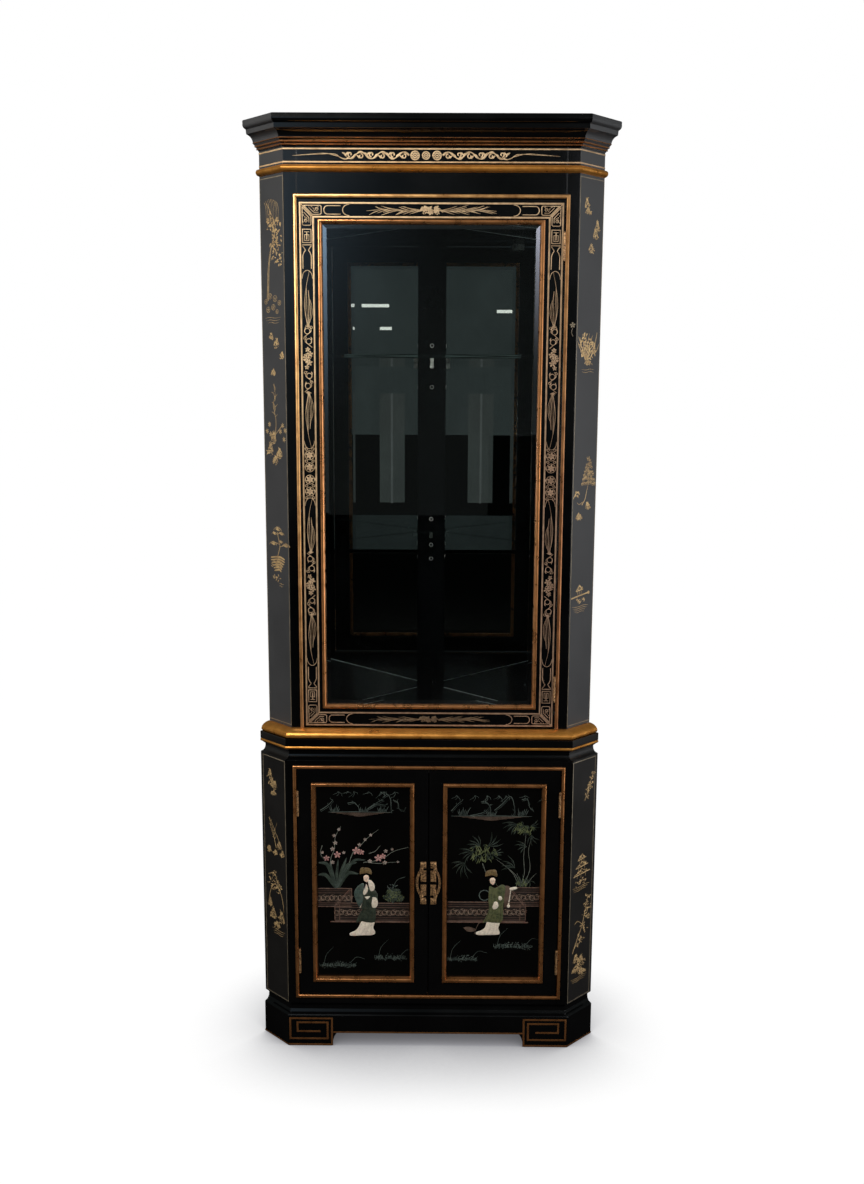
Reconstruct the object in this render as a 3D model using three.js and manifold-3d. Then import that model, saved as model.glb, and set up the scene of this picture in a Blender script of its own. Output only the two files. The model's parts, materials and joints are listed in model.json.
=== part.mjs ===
// Corner curio cabinet: a glazed display case over a two-door cupboard, for the corner of a room.
// Millimetres, +Z up, front towards -Y. Plan distances are measured from the display case's front plane:
// an offset called "front" or "side" moves a face that far outwards from the display case.
import * as THREE from "three";
import { mergeVertices } from "three/addons/utils/BufferGeometryUtils.js";
import Module from "manifold-3d";

const wasm = await Module();
wasm.setup();

// ---- Driving dimensions ----
const ROOT2 = Math.SQRT2;
const HEIGHT = 1945;
const CASE_WIDTH = 583; // flat front of the display case
const RETURN_DEPTH = 54.75; // how far each 45 degree return runs back
const WALL = CASE_WIDTH / 2 + 2 * RETURN_DEPTH; // front plane to the corner of the room
const BOARD = 18;
const BACK_BOARD = 9;
const GAP = 0.3; // clearance between pieces that touch
const CORNICE_PROJECTION = 38.5;

const DISPLAY = { front: 0, side: 0 };
const CUPBOARD = { front: 22, side: 24.8 };
const PLINTH = { front: 25, side: 27.8 };

// Levels above the floor.
const APRON_BOTTOM = 30;
const PLINTH_TOP = 99.2;
const CUPBOARD_TOP = 652;
const WAIST_TOP = 698.7;
const DISPLAY_BOTTOM = 716.6;
const CEILING = 1800;
const FRIEZE_BEAD = { bottom: 1842.5, top: 1857 };
const CASE_TOP = 1890.5;

// Cock beads frame the door openings and stand proud of the face frames.
const BEAD = { width: 7, proud: 4.3 };
const UPPER_BEAD = { width: 545, bottom: 717.5, top: 1801.5 };
const LOWER_BEAD = { width: 576, bottom: 113, top: 640.5 };

const DOOR_GAP = 1.5;
const HINGE_GAP = 2;
const DOOR_THICKNESS = 18;
const UPPER_DOOR_BOTTOM = 720;
const UPPER_FRAME_WIDTH = 39;
const GLASS_MOULDING_WIDTH = 8.2;
const LOWER_FRAME_WIDTH = 33;
const PANEL_BEAD_INSET = 29.5;
const PANEL_BEAD_WIDTH = 9.5;
const PULL = { height: 102, width: 25.5, thickness: 4, fromMeeting: 3.6, bottom: 328.7 };

const HINGE = { length: 54, radius: 2.5, pin: 1.2, leaf: 1.2, leafDepth: 13, knuckle: 18 };
const UPPER_HINGES = { bottom_hinge: 804, top_hinge: 1704 };
const LOWER_HINGES = { bottom_hinge: 199, top_hinge: 556.5 };

const MIRROR_THICKNESS = 4;
const POST = { halfWidth: 32, projection: 6 };
const SHELF_THICKNESS = 8;
const SHELF_PINS = { lower: 1078.3, upper: 1478.2 };
const PIN = { radius: 2.4, depth: 8, reach: 10, width: 8, rise: 8.2 };

// ---- Plan geometry: points on the right-hand half, looking down ----

// Where a front face meets a return, for faces moved outwards by the two offsets.
function frontCorner(front, side) {
  return new THREE.Vector2(CASE_WIDTH / 2 + side * ROOT2 - front, -front);
}

// Where a return meets the room wall, or a plane set in from the wall.
function wallCorner(side, wallInset = 0) {
  const across = CASE_WIDTH / 2 + side * ROOT2;
  const wall = WALL - wallInset * ROOT2;
  return new THREE.Vector2((wall + across) / 2, (wall - across) / 2);
}

function mirrorPoints(points) {
  return points.map((p) => new THREE.Vector2(-p.x, p.y)).reverse();
}

// A horizontal board that fills the case between its front, its returns and its back.
function boardOutline(front, side, wallInset) {
  const half = [frontCorner(front, side), wallCorner(side, wallInset)];
  return [...half, new THREE.Vector2(0, WALL - wallInset * ROOT2), ...mirrorPoints(half)];
}

// ---- Solids ----

// A prism standing on a plan outline.
function upright(outline, bottom, top) {
  const options = { depth: top - bottom, bevelEnabled: false };
  return new THREE.ExtrudeGeometry(new THREE.Shape(outline), options).translate(0, 0, bottom);
}

// A box given by its limits along each axis.
function block([x0, x1], [y0, y1], [z0, z1]) {
  const box = new THREE.BoxGeometry(x1 - x0, y1 - y0, z1 - z0);
  return box.translate((x0 + x1) / 2, (y0 + y1) / 2, (z0 + z1) / 2);
}

// A vertical cylinder.
function rod(radius, bottom, top, x = 0, y = 0) {
  const cylinder = new THREE.CylinderGeometry(radius, radius, top - bottom, 16);
  return cylinder.rotateX(Math.PI / 2).translate(x, y, (bottom + top) / 2);
}

function signedVolume(points, faces) {
  let sum = 0;
  for (let i = 0; i < faces.length; i += 3) {
    const [a, b, c] = [points[faces[i]], points[faces[i + 1]], points[faces[i + 2]]];
    sum += a.dot(b.clone().cross(c));
  }
  return sum / 6;
}

// Triangles that close a section, wound in the same order as its outline.
function capFaces(section) {
  const winding = Math.sign(THREE.ShapeUtils.area(section));
  return THREE.ShapeUtils.triangulateShape(section, []).map((face) => {
    const turn = THREE.ShapeUtils.area(face.map((i) => section[i]));
    return Math.sign(turn) === winding ? face : [face[0], face[2], face[1]];
  });
}

// Joins equal rings of points, one for each mitred corner, into a closed solid. The section is the
// flat outline that closes the two ends when the run of rings is open.
function mitredRun(rings, section, closed) {
  const size = rings[0].length;
  const points = rings.flat();
  const faces = [];
  const spans = closed ? rings.length : rings.length - 1;
  for (let r = 0; r < spans; r++) {
    const next = (r + 1) % rings.length;
    for (let i = 0; i < size; i++) {
      const j = (i + 1) % size;
      const [a, b] = [r * size + i, r * size + j];
      const [c, d] = [next * size + j, next * size + i];
      faces.push(a, b, c, a, c, d);
    }
  }
  if (!closed) {
    const last = (rings.length - 1) * size;
    for (const [a, b, c] of capFaces(section)) {
      faces.push(a, c, b, last + a, last + b, last + c);
    }
  }
  if (signedVolume(points, faces) < 0) faces.reverse();
  const geometry = new THREE.BufferGeometry().setFromPoints(points);
  geometry.setIndex(faces);
  return geometry;
}

// A moulding that runs along one return, across the front and along the other return.
// Each profile point is [front offset, level] or [front offset, level, side offset].
function caseMoulding(profile) {
  const corners = [
    (front, side) => wallCorner(side).multiply(new THREE.Vector2(-1, 1)),
    (front, side) => frontCorner(front, side).multiply(new THREE.Vector2(-1, 1)),
    frontCorner,
    (front, side) => wallCorner(side),
  ];
  const rings = corners.map((corner) =>
    profile.map(([front, level, side = front]) => {
      const { x, y } = corner(front, side);
      return new THREE.Vector3(x, y, level);
    }),
  );
  const section = profile.map(([front, level]) => new THREE.Vector2(front, level));
  return mitredRun(rings, section, false);
}

// A mitred frame round a rectangle in the XZ plane. Each profile point is [inset from the outer edge, y].
function mitredFrame(width, bottom, top, profile) {
  const corners = [[-1, -1], [1, -1], [1, 1], [-1, 1]];
  const rings = corners.map(([sx, sz]) =>
    profile.map(([inset, y]) => {
      const z = sz < 0 ? bottom + inset : top - inset;
      return new THREE.Vector3(sx * (width / 2 - inset), y, z);
    }),
  );
  return mitredRun(rings, [], true);
}

// The same frame without its bottom member.
function mitredArch(width, bottom, top, profile) {
  const corners = [[-1, false], [-1, true], [1, true], [1, false]];
  const rings = corners.map(([sx, atTop]) =>
    profile.map(([inset, y]) => {
      const z = atTop ? top - inset : bottom;
      return new THREE.Vector3(sx * (width / 2 - inset), y, z);
    }),
  );
  return mitredRun(rings, profile.map((point) => new THREE.Vector2(...point)), false);
}

function toManifold(geometry) {
  const bare = geometry.clone();
  bare.deleteAttribute("normal");
  bare.deleteAttribute("uv");
  const welded = mergeVertices(bare, 1e-4);
  const mesh = new wasm.Mesh({
    numProp: 3,
    vertProperties: Float32Array.from(welded.attributes.position.array),
    triVerts: Uint32Array.from(welded.index.array),
  });
  return new wasm.Manifold(mesh);
}

function fromManifold(solid) {
  const mesh = solid.getMesh();
  const geometry = new THREE.BufferGeometry();
  geometry.setAttribute("position", new THREE.BufferAttribute(mesh.vertProperties, 3));
  geometry.setIndex(new THREE.BufferAttribute(mesh.triVerts, 1));
  return geometry;
}

function join(first, ...others) {
  return fromManifold(others.reduce((solid, other) => solid.add(toManifold(other)), toManifold(first)));
}

function cut(body, ...tools) {
  return fromManifold(tools.reduce((solid, tool) => solid.subtract(toManifold(tool)), toManifold(body)));
}

// ---- Materials ----
function material(color, roughness, metalness = 0, extra = {}) {
  return new THREE.MeshStandardMaterial({ color, roughness, metalness, ...extra });
}

const lacquer = material(0x0b0b0d, 0.18);
const satinLacquer = material(0x2f3032, 0.45);
const cornerPaint = material(0x0e1012, 0.3);
const backPanel = material(0x16130f, 0.7);
const gilt = material(0xb8863f, 0.38, 0.9);
const brass = material(0x9a6f3c, 0.35, 1);
const shelfGlass = material(0xa9c4bb, 0.05, 0, { transparent: true, opacity: 0.3 });
const doorGlass = material(0xc9d2d0, 0.03, 0, { transparent: true, opacity: 0.2 });
const mirrorGlass = material(0xd8dcda, 0.04, 1);
const steel = material(0x8f8f8c, 0.35, 1);

// The origin is on the floor, midway between the cornice's front edge and the case's back edge.
const cabinet = new THREE.Group();
cabinet.position.y = -(WALL - GAP / 2 - CORNICE_PROJECTION) / 2;
cabinet.userData = { x: 0, y: 0, z: 0 };

function addTo(group, name, geometry, surface) {
  const mesh = new THREE.Mesh(geometry, surface);
  mesh.name = name;
  group.add(mesh);
  return mesh;
}

// ---- Case boards ----

// The 45 degree board beside the front, mitred to the stile.
function returnOutline({ front, side }) {
  return [
    frontCorner(front, side),
    wallCorner(side),
    wallCorner(side - BOARD),
    frontCorner(front - BOARD, side - BOARD),
  ];
}

// The upright of the face frame, from the mitre to the door opening.
function stileOutline({ front, side }, opening) {
  const mitreGap = new THREE.Vector2(1.2 * GAP, 0);
  return [
    frontCorner(front, side).sub(mitreGap),
    new THREE.Vector2(opening, -front),
    new THREE.Vector2(opening, BOARD - front),
    frontCorner(front - BOARD, side - BOARD).sub(mitreGap),
  ];
}

function shelfPinSpots() {
  const sideFace = CASE_WIDTH / 2 - BOARD * ROOT2;
  const back = 42;
  const postFace = WALL - (BACK_BOARD + GAP) * ROOT2 - POST.halfWidth - POST.projection;
  return {
    left: { x: -sideFace - back, y: back, turn: Math.PI / 4 },
    right: { x: sideFace + back, y: back, turn: (3 * Math.PI) / 4 },
    post: { x: 0, y: postFace, turn: -Math.PI / 2 },
  };
}

// The hole for one shelf pin, as a cutting tool.
function pinHole({ x, y, turn }, level) {
  const hole = new THREE.CylinderGeometry(PIN.radius + GAP, PIN.radius + GAP, 2 * PIN.depth + 2, 12);
  return hole.rotateZ(Math.PI / 2).rotateZ(turn).translate(x, y, level);
}

function withPinHoles(board, spot) {
  return cut(board, ...Object.values(SHELF_PINS).map((level) => pinHole(spot, level)));
}

function addReturns() {
  const spots = shelfPinSpots();
  for (const [end, place] of [["left", mirrorPoints], ["right", (points) => points]]) {
    const upper = upright(place(returnOutline(DISPLAY)), DISPLAY_BOTTOM + GAP, CASE_TOP);
    addTo(cabinet, `upper_side_${end}`, withPinHoles(upper, spots[end]), satinLacquer);
    const lower = upright(place(returnOutline(CUPBOARD)), PLINTH_TOP + GAP, CUPBOARD_TOP);
    addTo(cabinet, `lower_side_${end}`, lower, satinLacquer);
  }
}

function addFaceFrame(level, offsets, bead, bottom, top) {
  const opening = bead.width / 2 - BEAD.width;
  const depth = [-offsets.front, BOARD - offsets.front];
  const span = [-opening + GAP, opening - GAP];
  const outline = stileOutline(offsets, opening);
  addTo(cabinet, `${level}_stile_left`, upright(mirrorPoints(outline), bottom, top), lacquer);
  addTo(cabinet, `${level}_stile_right`, upright(outline, bottom, top), lacquer);
  const headRail = block(span, depth, [bead.top - BEAD.width, top]);
  addTo(cabinet, level === "upper" ? "frieze_rail" : "lower_top_rail", headRail, lacquer);
  if (level === "lower") {
    addTo(cabinet, "lower_bottom_rail", block(span, depth, [bottom, bead.bottom + BEAD.width]), lacquer);
  }
}

// Each back board runs from the floor to the cornice and is wider in the cupboard.
function addBacks() {
  const outline = (side) => [
    new THREE.Vector2(GAP / 2, WALL - GAP / 2),
    wallCorner(side),
    wallCorner(side, BACK_BOARD),
    new THREE.Vector2(GAP / 2, WALL - BACK_BOARD * ROOT2 - GAP / 2),
  ];
  const cupboardPart = outline(CUPBOARD.side - BOARD - GAP);
  const displayPart = outline(-BOARD - GAP);
  for (const [end, place] of [["left", mirrorPoints], ["right", (points) => points]]) {
    const lower = upright(place(cupboardPart), 0, CUPBOARD_TOP);
    const upper = upright(place(displayPart), CUPBOARD_TOP - 1, CASE_TOP);
    addTo(cabinet, `back_board_${end}`, join(lower, upper), backPanel);
  }
}

function addHorizontalBoards() {
  const behindFrame = BOARD + GAP;
  const backInset = BACK_BOARD + GAP;
  const inCupboard = CUPBOARD.side - behindFrame;
  const boards = [
    ["waist_board", boardOutline(-GAP, -GAP, backInset), WAIST_TOP + GAP, DISPLAY_BOTTOM],
    ["display_ceiling", boardOutline(-behindFrame, -behindFrame, backInset), CEILING, CEILING + 16],
    ["cupboard_floor", boardOutline(CUPBOARD.front - behindFrame, inCupboard, backInset), 102, 118],
    ["cupboard_shelf", boardOutline(-20, inCupboard, backInset), 380, 396],
  ];
  for (const [name, outline, bottom, top] of boards) {
    addTo(cabinet, name, upright(outline, bottom, top), lacquer);
  }
}

// ---- Display interior ----
function addMirrors() {
  const back = BACK_BOARD + GAP;
  const front = back + MIRROR_THICKNESS;
  const side = -BOARD - GAP;
  const edge = POST.halfWidth + GAP;
  const outline = [
    new THREE.Vector2(edge, WALL - back * ROOT2 - edge),
    wallCorner(side, back),
    wallCorner(side, front),
    new THREE.Vector2(edge, WALL - front * ROOT2 - edge),
  ];
  const [bottom, top] = [DISPLAY_BOTTOM + GAP, CEILING - GAP];
  addTo(cabinet, "mirror_left", upright(mirrorPoints(outline), bottom, top), mirrorGlass);
  addTo(cabinet, "mirror_right", upright(outline, bottom, top), mirrorGlass);
}

function addCornerPost() {
  const corner = WALL - (BACK_BOARD + GAP) * ROOT2;
  const face = corner - POST.halfWidth;
  const half = [
    new THREE.Vector2(POST.halfWidth, face),
    new THREE.Vector2(POST.halfWidth, face - POST.projection),
  ];
  const outline = [new THREE.Vector2(0, corner), ...half, ...mirrorPoints(half)];
  const post = upright(outline, DISPLAY_BOTTOM + GAP, CEILING - GAP);
  addTo(cabinet, "corner_post", withPinHoles(post, shelfPinSpots().post), cornerPaint);
}

// A peg in its hole with a rest for the glass. The peg points along -X before it is turned.
function shelfPinGeometry() {
  const peg = new THREE.CylinderGeometry(PIN.radius, PIN.radius, PIN.depth + 2, 12);
  peg.rotateZ(Math.PI / 2).translate(1 - PIN.depth / 2, 0, 0);
  const rest = block([GAP, PIN.reach], [-PIN.width / 2, PIN.width / 2], [-PIN.width / 2, PIN.rise]);
  return join(rest, peg);
}

function addShelves() {
  const clear = 4;
  const wallInset = BACK_BOARD + MIRROR_THICKNESS + GAP + 3;
  const spots = shelfPinSpots();
  const rear = spots.post.y - 1.5;
  const rearHalf = WALL - wallInset * ROOT2 - rear;
  const half = [
    frontCorner(-30, -BOARD - clear),
    wallCorner(-BOARD - clear, wallInset),
    new THREE.Vector2(rearHalf, rear),
  ];
  for (const [name, level] of Object.entries(SHELF_PINS)) {
    const bottom = level + PIN.rise + GAP;
    const shelf = upright([...half, ...mirrorPoints(half)], bottom, bottom + SHELF_THICKNESS);
    addTo(cabinet, `glass_shelf_${name}`, shelf, shelfGlass);
    for (const [place, spot] of Object.entries(spots)) {
      const pin = addTo(cabinet, `shelf_pin_${name}_${place}`, shelfPinGeometry(), steel);
      pin.position.set(spot.x, spot.y, level);
      pin.rotation.z = spot.turn;
    }
  }
}

// ---- Mouldings ----

// Points on a quarter of an ellipse, between two angles in degrees.
function arcPoints(centre, radii, from, to, steps) {
  return Array.from({ length: steps + 1 }, (_, i) => {
    const angle = THREE.MathUtils.degToRad(from + ((to - from) * i) / steps);
    return [centre[0] + radii[0] * Math.cos(angle), centre[1] + radii[1] * Math.sin(angle)];
  });
}

function addCornice() {
  const profile = [
    [-BOARD, CASE_TOP + GAP],
    [1, CASE_TOP + GAP],
    [4, 1894],
    [8, 1898.5],
    [13, 1903],
    ...arcPoints([31, 1903], [17, 15], 180, 105, 4),
    [30, 1919],
    [31, 1928],
    [34, 1929.5],
    ...arcPoints([33, 1936], [5.5, 6.5], -60, 30, 3),
    [CORNICE_PROJECTION, HEIGHT - 3],
    [CORNICE_PROJECTION - 2, HEIGHT],
    [14, HEIGHT],
    [-8, 1910],
    [-BOARD, 1910],
  ];
  addTo(cabinet, "cornice", caseMoulding(profile), lacquer);
}

function addFriezeBead() {
  const { bottom, top } = FRIEZE_BEAD;
  const radii = [8.5 - GAP, (top - bottom) / 2];
  const profile = arcPoints([GAP, (bottom + top) / 2], radii, -90, 90, 6);
  addTo(cabinet, "frieze_bead", caseMoulding(profile), gilt);
}

function addWaistMouldings() {
  const nosingBottom = WAIST_TOP + GAP;
  const nosingTop = 717;
  const belly = nosingBottom + 4.5;
  const nosing = [
    [0, nosingBottom],
    ...arcPoints([18, belly], [4, 4.5], -90, 0, 2),
    ...arcPoints([0, belly], [22, nosingTop - belly], 0, 90, 6).slice(1),
  ];
  addTo(cabinet, "waist_nosing", caseMoulding(nosing), gilt);
  const cove = arcPoints([22, 665.5], [10.5, 11], 180, 262, 4);
  const moulding = [
    [-BOARD, CUPBOARD_TOP + GAP],
    [CUPBOARD.front, CUPBOARD_TOP + GAP, CUPBOARD.side],
    ...cove.reverse(),
    [12.5, 667.5],
    [22, 676],
    ...arcPoints([22, 679.7], [3.6, 3.4], -80, 80, 4),
    [24, 683.5],
    [25, 684.5],
    [25, WAIST_TOP],
    [-BOARD, WAIST_TOP],
  ];
  addTo(cabinet, "waist_moulding", caseMoulding(moulding), lacquer);
}

// The plinth frame, with bracket feet left by the cut under its front.
function addPlinth() {
  const inner = 7.2;
  const neck = { front: 13.5, side: 16 };
  const profile = [
    [inner, 0],
    [PLINTH.front, 0, PLINTH.side],
    [PLINTH.front, 71.5, PLINTH.side],
    [PLINTH.front - 1.5, 73.5, PLINTH.side - 1.5],
    [17.5, 76.5, 20],
    [14.5, 82, 17],
    [neck.front, 90.5, neck.side],
    [19, PLINTH_TOP, 21.5],
    [inner, PLINTH_TOP],
  ];
  const archHalf = [
    new THREE.Vector2(211, -1),
    new THREE.Vector2(210, 6),
    new THREE.Vector2(205, 22),
    new THREE.Vector2(200, APRON_BOTTOM),
  ];
  const arch = new THREE.ExtrudeGeometry(new THREE.Shape([...archHalf, ...mirrorPoints(archHalf)]), {
    depth: 60,
    bevelEnabled: false,
  });
  arch.rotateX(Math.PI / 2).translate(0, 20, 0);
  addTo(cabinet, "plinth", cut(caseMoulding(profile), arch), lacquer);
}

// The rounded section shared by both cock beads, as [inset, y] from the face it stands on.
function cockBeadProfile(face) {
  const middle = BEAD.width / 2;
  const round = arcPoints([middle, 1.8], [middle, BEAD.proud - 1.8], 180, 0, 6);
  return [[0, face - GAP], ...round.map(([inset, out]) => [inset, face - out]), [BEAD.width, face - GAP]];
}

function addCockBeads() {
  const upper = cockBeadProfile(-DISPLAY.front);
  const lower = cockBeadProfile(-CUPBOARD.front);
  const arch = mitredArch(UPPER_BEAD.width, UPPER_BEAD.bottom, UPPER_BEAD.top, upper);
  addTo(cabinet, "upper_cock_bead", arch, gilt);
  const ring = mitredFrame(LOWER_BEAD.width, LOWER_BEAD.bottom, LOWER_BEAD.top, lower);
  addTo(cabinet, "lower_cock_bead", ring, gilt);
}

// ---- Hinges: the pin axis stands at the origin; side is 1 where the case is towards +X, else -1 ----
function hingeGeometry(side) {
  const { length, radius, pin, leaf, leafDepth, knuckle } = HINGE;
  const half = length / 2;
  const middle = knuckle / 2;
  const leafEnd = radius + GAP + leafDepth;
  const frameLeafX = radius - pin;
  const doorLeafX = frameLeafX - GAP - leaf;
  const spread = (x0, x1) => [Math.min(side * x0, side * x1), Math.max(side * x0, side * x1)];
  const doorLeafSpan = spread(doorLeafX, doorLeafX + leaf);

  const framePlate = block(spread(frameLeafX, frameLeafX + leaf), [0, leafEnd], [-half, half]);
  const middleRoom = block(spread(0, 2 * radius), [-radius - 1, radius + 2 * GAP], [-middle, middle]);
  const frameLeaf = join(
    rod(radius, -half, -middle),
    rod(radius, middle, half),
    rod(pin, -half - 1, half + 1),
    cut(framePlate, middleRoom),
  );

  const barrel = cut(rod(radius, -middle + GAP, middle - GAP), rod(pin + GAP, -knuckle, knuckle));
  const doorLeaf = join(
    barrel,
    block(doorLeafSpan, [pin + 2 * GAP, radius + GAP], [-middle + GAP, middle - GAP]),
    block(doorLeafSpan, [radius + GAP, leafEnd], [-half, half]),
  );
  return { frameLeaf, doorLeaf };
}

// The pin axis of a door hung on the case edge at the given half width.
function hingeAxis(opening, face) {
  return { x: opening - GAP - HINGE.radius, y: face - GAP - HINGE.radius };
}

function addHinges(prefix, door, side, axis, levels) {
  for (const [name, level] of Object.entries(levels)) {
    const { frameLeaf, doorLeaf } = hingeGeometry(side);
    for (const [part, geometry] of Object.entries({ frame_leaf: frameLeaf, door_leaf: doorLeaf })) {
      const owner = part === "door_leaf" ? door : cabinet;
      const mesh = addTo(owner, `${prefix}_${name}_${part}`, geometry, brass);
      const { x, y, z } = owner.userData;
      mesh.position.set(side * axis.x - x, axis.y - y, level - z);
    }
  }
}

// Room for the door leaves in the door's hinge edge, as cutting tools in the door's own coordinates.
function hingeRecesses(side, axis, levels, group) {
  const { x, y, z } = group.userData;
  const inner = side * (axis.x - 1.2) - x;
  const outer = inner + side * 6;
  return Object.values(levels).map((level) => {
    const half = HINGE.length / 2 + GAP;
    const front = axis.y - y + HINGE.radius;
    return block(
      [Math.min(inner, outer), Math.max(inner, outer)],
      [front, front + HINGE.leafDepth + 3 * GAP],
      [level - z - half, level - z + half],
    );
  });
}

// ---- Doors: origin at the middle of the front face's bottom edge ----
function doorGroup(x, y, z) {
  const group = new THREE.Group();
  group.position.set(x, y, z);
  group.userData = { x, y, z };
  cabinet.add(group);
  return group;
}

function flatFrame(width, height, memberWidth) {
  const profile = [[0, 0], [memberWidth, 0], [memberWidth, DOOR_THICKNESS], [0, DOOR_THICKNESS]];
  return mitredFrame(width, 0, height, profile);
}

function panelInside(width, height, inset, [front, back]) {
  const half = width / 2 - inset;
  return block([-half, half], [front, back], [inset, height - inset]);
}

function addDisplayDoor() {
  const opening = UPPER_BEAD.width / 2 - BEAD.width;
  const width = 2 * opening - DOOR_GAP - HINGE_GAP;
  const height = UPPER_BEAD.top - BEAD.width - DOOR_GAP - UPPER_DOOR_BOTTOM;
  const group = doorGroup((DOOR_GAP - HINGE_GAP) / 2, 0, UPPER_DOOR_BOTTOM);
  const axis = hingeAxis(opening, 0);
  const frame = flatFrame(width, height, UPPER_FRAME_WIDTH);
  const recesses = hingeRecesses(1, axis, UPPER_HINGES, group);
  addTo(group, "upper_door_frame", cut(frame, ...recesses), lacquer);
  const start = UPPER_FRAME_WIDTH + GAP;
  const end = UPPER_FRAME_WIDTH + GAP + GLASS_MOULDING_WIDTH;
  const moulding = [[start, -1.5], [start + 3, -2.5], [end - 1, 1.5], [end, 6], [start, 6]];
  addTo(group, "glass_moulding", mitredFrame(width, 0, height, moulding), gilt);
  addTo(group, "door_glass", panelInside(width, height, start, [6 + GAP, 10 + GAP]), doorGlass);
  addHinges("upper_door", group, 1, axis, UPPER_HINGES);
}

// Half of an openwork plate, drawn from the meeting edge outwards, with its inner edge at x = 0.
function pullOutline() {
  const outline = new THREE.Shape();
  outline.moveTo(0, 0);
  outline.lineTo(14.5, 0);
  outline.lineTo(15.5, 20);
  outline.quadraticCurveTo(PULL.width - 1, 26, PULL.width, 44);
  outline.lineTo(PULL.width, 63);
  outline.quadraticCurveTo(PULL.width - 1.5, 79, 16, 85);
  outline.lineTo(16.5, PULL.height);
  outline.lineTo(1, PULL.height);
  outline.lineTo(1, 88);
  outline.lineTo(7, 87.5);
  outline.lineTo(7.5, 84);
  outline.lineTo(1, 79);
  outline.lineTo(1, 55.5);
  outline.lineTo(14, 55.5);
  outline.lineTo(14, 74);
  outline.quadraticCurveTo(20.5, 72, 20.5, 52);
  outline.quadraticCurveTo(20.5, 36, 15.5, 33);
  outline.lineTo(14, 36);
  outline.lineTo(14, 49);
  outline.lineTo(0, 49);
  outline.lineTo(0, 22);
  outline.quadraticCurveTo(9.5, 23, 9.5, 13);
  outline.lineTo(0, 13);
  outline.closePath();
  return outline;
}

function pullGeometry(side) {
  const options = { depth: PULL.thickness, bevelEnabled: false, curveSegments: 6 };
  const plate = new THREE.ExtrudeGeometry(pullOutline(), options);
  plate.rotateX(Math.PI / 2);
  const points = plate.attributes.position;
  const corners = [];
  for (let i = 0; i < points.count; i++) {
    corners.push(new THREE.Vector3(side * points.getX(i), points.getY(i), points.getZ(i)));
  }
  const faces = corners.map((_, i) => i);
  if (signedVolume(corners, faces) < 0) faces.reverse();
  const geometry = new THREE.BufferGeometry().setFromPoints(corners);
  geometry.setIndex(faces);
  return geometry;
}

function addCupboardDoor(end, side) {
  const opening = LOWER_BEAD.width / 2 - BEAD.width;
  const meeting = 1;
  const width = opening - HINGE_GAP - meeting;
  const bottom = LOWER_BEAD.bottom + BEAD.width + DOOR_GAP;
  const height = LOWER_BEAD.top - BEAD.width - DOOR_GAP - bottom;
  const face = -CUPBOARD.front;
  const group = doorGroup(side * (meeting + width / 2), face, bottom);
  const axis = hingeAxis(opening, face);
  const frame = flatFrame(width, height, LOWER_FRAME_WIDTH);
  const recesses = hingeRecesses(side, axis, LOWER_HINGES, group);
  addTo(group, `${end}_door_frame`, cut(frame, ...recesses), lacquer);
  const leg = LOWER_FRAME_WIDTH + GAP;
  const inner = PANEL_BEAD_INSET + PANEL_BEAD_WIDTH;
  const bead = [
    [PANEL_BEAD_INSET, -GAP],
    [PANEL_BEAD_INSET, -2.5],
    [PANEL_BEAD_INSET + 2.5, -5],
    [inner - 3, -5.3],
    [inner, -1.5],
    [inner, 5.7],
    [leg, 5.7],
    [leg, -GAP],
  ];
  addTo(group, `${end}_panel_bead`, mitredFrame(width, 0, height, bead), gilt);
  addTo(group, `${end}_door_panel`, panelInside(width, height, leg, [6, 14]), lacquer);
  const pull = addTo(group, `${end}_door_pull`, pullGeometry(side), brass);
  pull.position.set(side * (PULL.fromMeeting - meeting - width / 2), -GAP, PULL.bottom - bottom);
  addHinges(`${end}_door`, group, side, axis, LOWER_HINGES);
}

// ---- Catches: small magnet blocks behind the face frames ----
function addCatches() {
  const behindDisplay = [BOARD + GAP, BOARD + GAP + 14];
  addTo(cabinet, "display_catch", block([-235, -205], behindDisplay, [1784, CEILING - GAP]), steel);
  const behindCupboard = behindDisplay.map((y) => y - CUPBOARD.front);
  addTo(cabinet, "cupboard_catch", block([-30, 30], behindCupboard, [620, 646]), steel);
}

addPlinth();
addReturns();
addFaceFrame("lower", CUPBOARD, LOWER_BEAD, PLINTH_TOP + GAP, CUPBOARD_TOP);
addFaceFrame("upper", DISPLAY, UPPER_BEAD, DISPLAY_BOTTOM + GAP, CASE_TOP);
addBacks();
addHorizontalBoards();
addMirrors();
addCornerPost();
addShelves();
addCornice();
addFriezeBead();
addWaistMouldings();
addCockBeads();
addDisplayDoor();
addCupboardDoor("left", -1);
addCupboardDoor("right", 1);
addCatches();

export default cabinet;
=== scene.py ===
"""Looks of the corner curio cabinet, black and gold lacquer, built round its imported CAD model.

Blender works in metres in the CAD model's frame: front towards -Y, +Z up. Profiles of mouldings and
painted shapes are written in millimetres and scaled by MM, as a joiner or a painter would give them.
"""

import json
import math
import random

import bmesh
import bpy
from mathutils import Matrix, Vector


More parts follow.
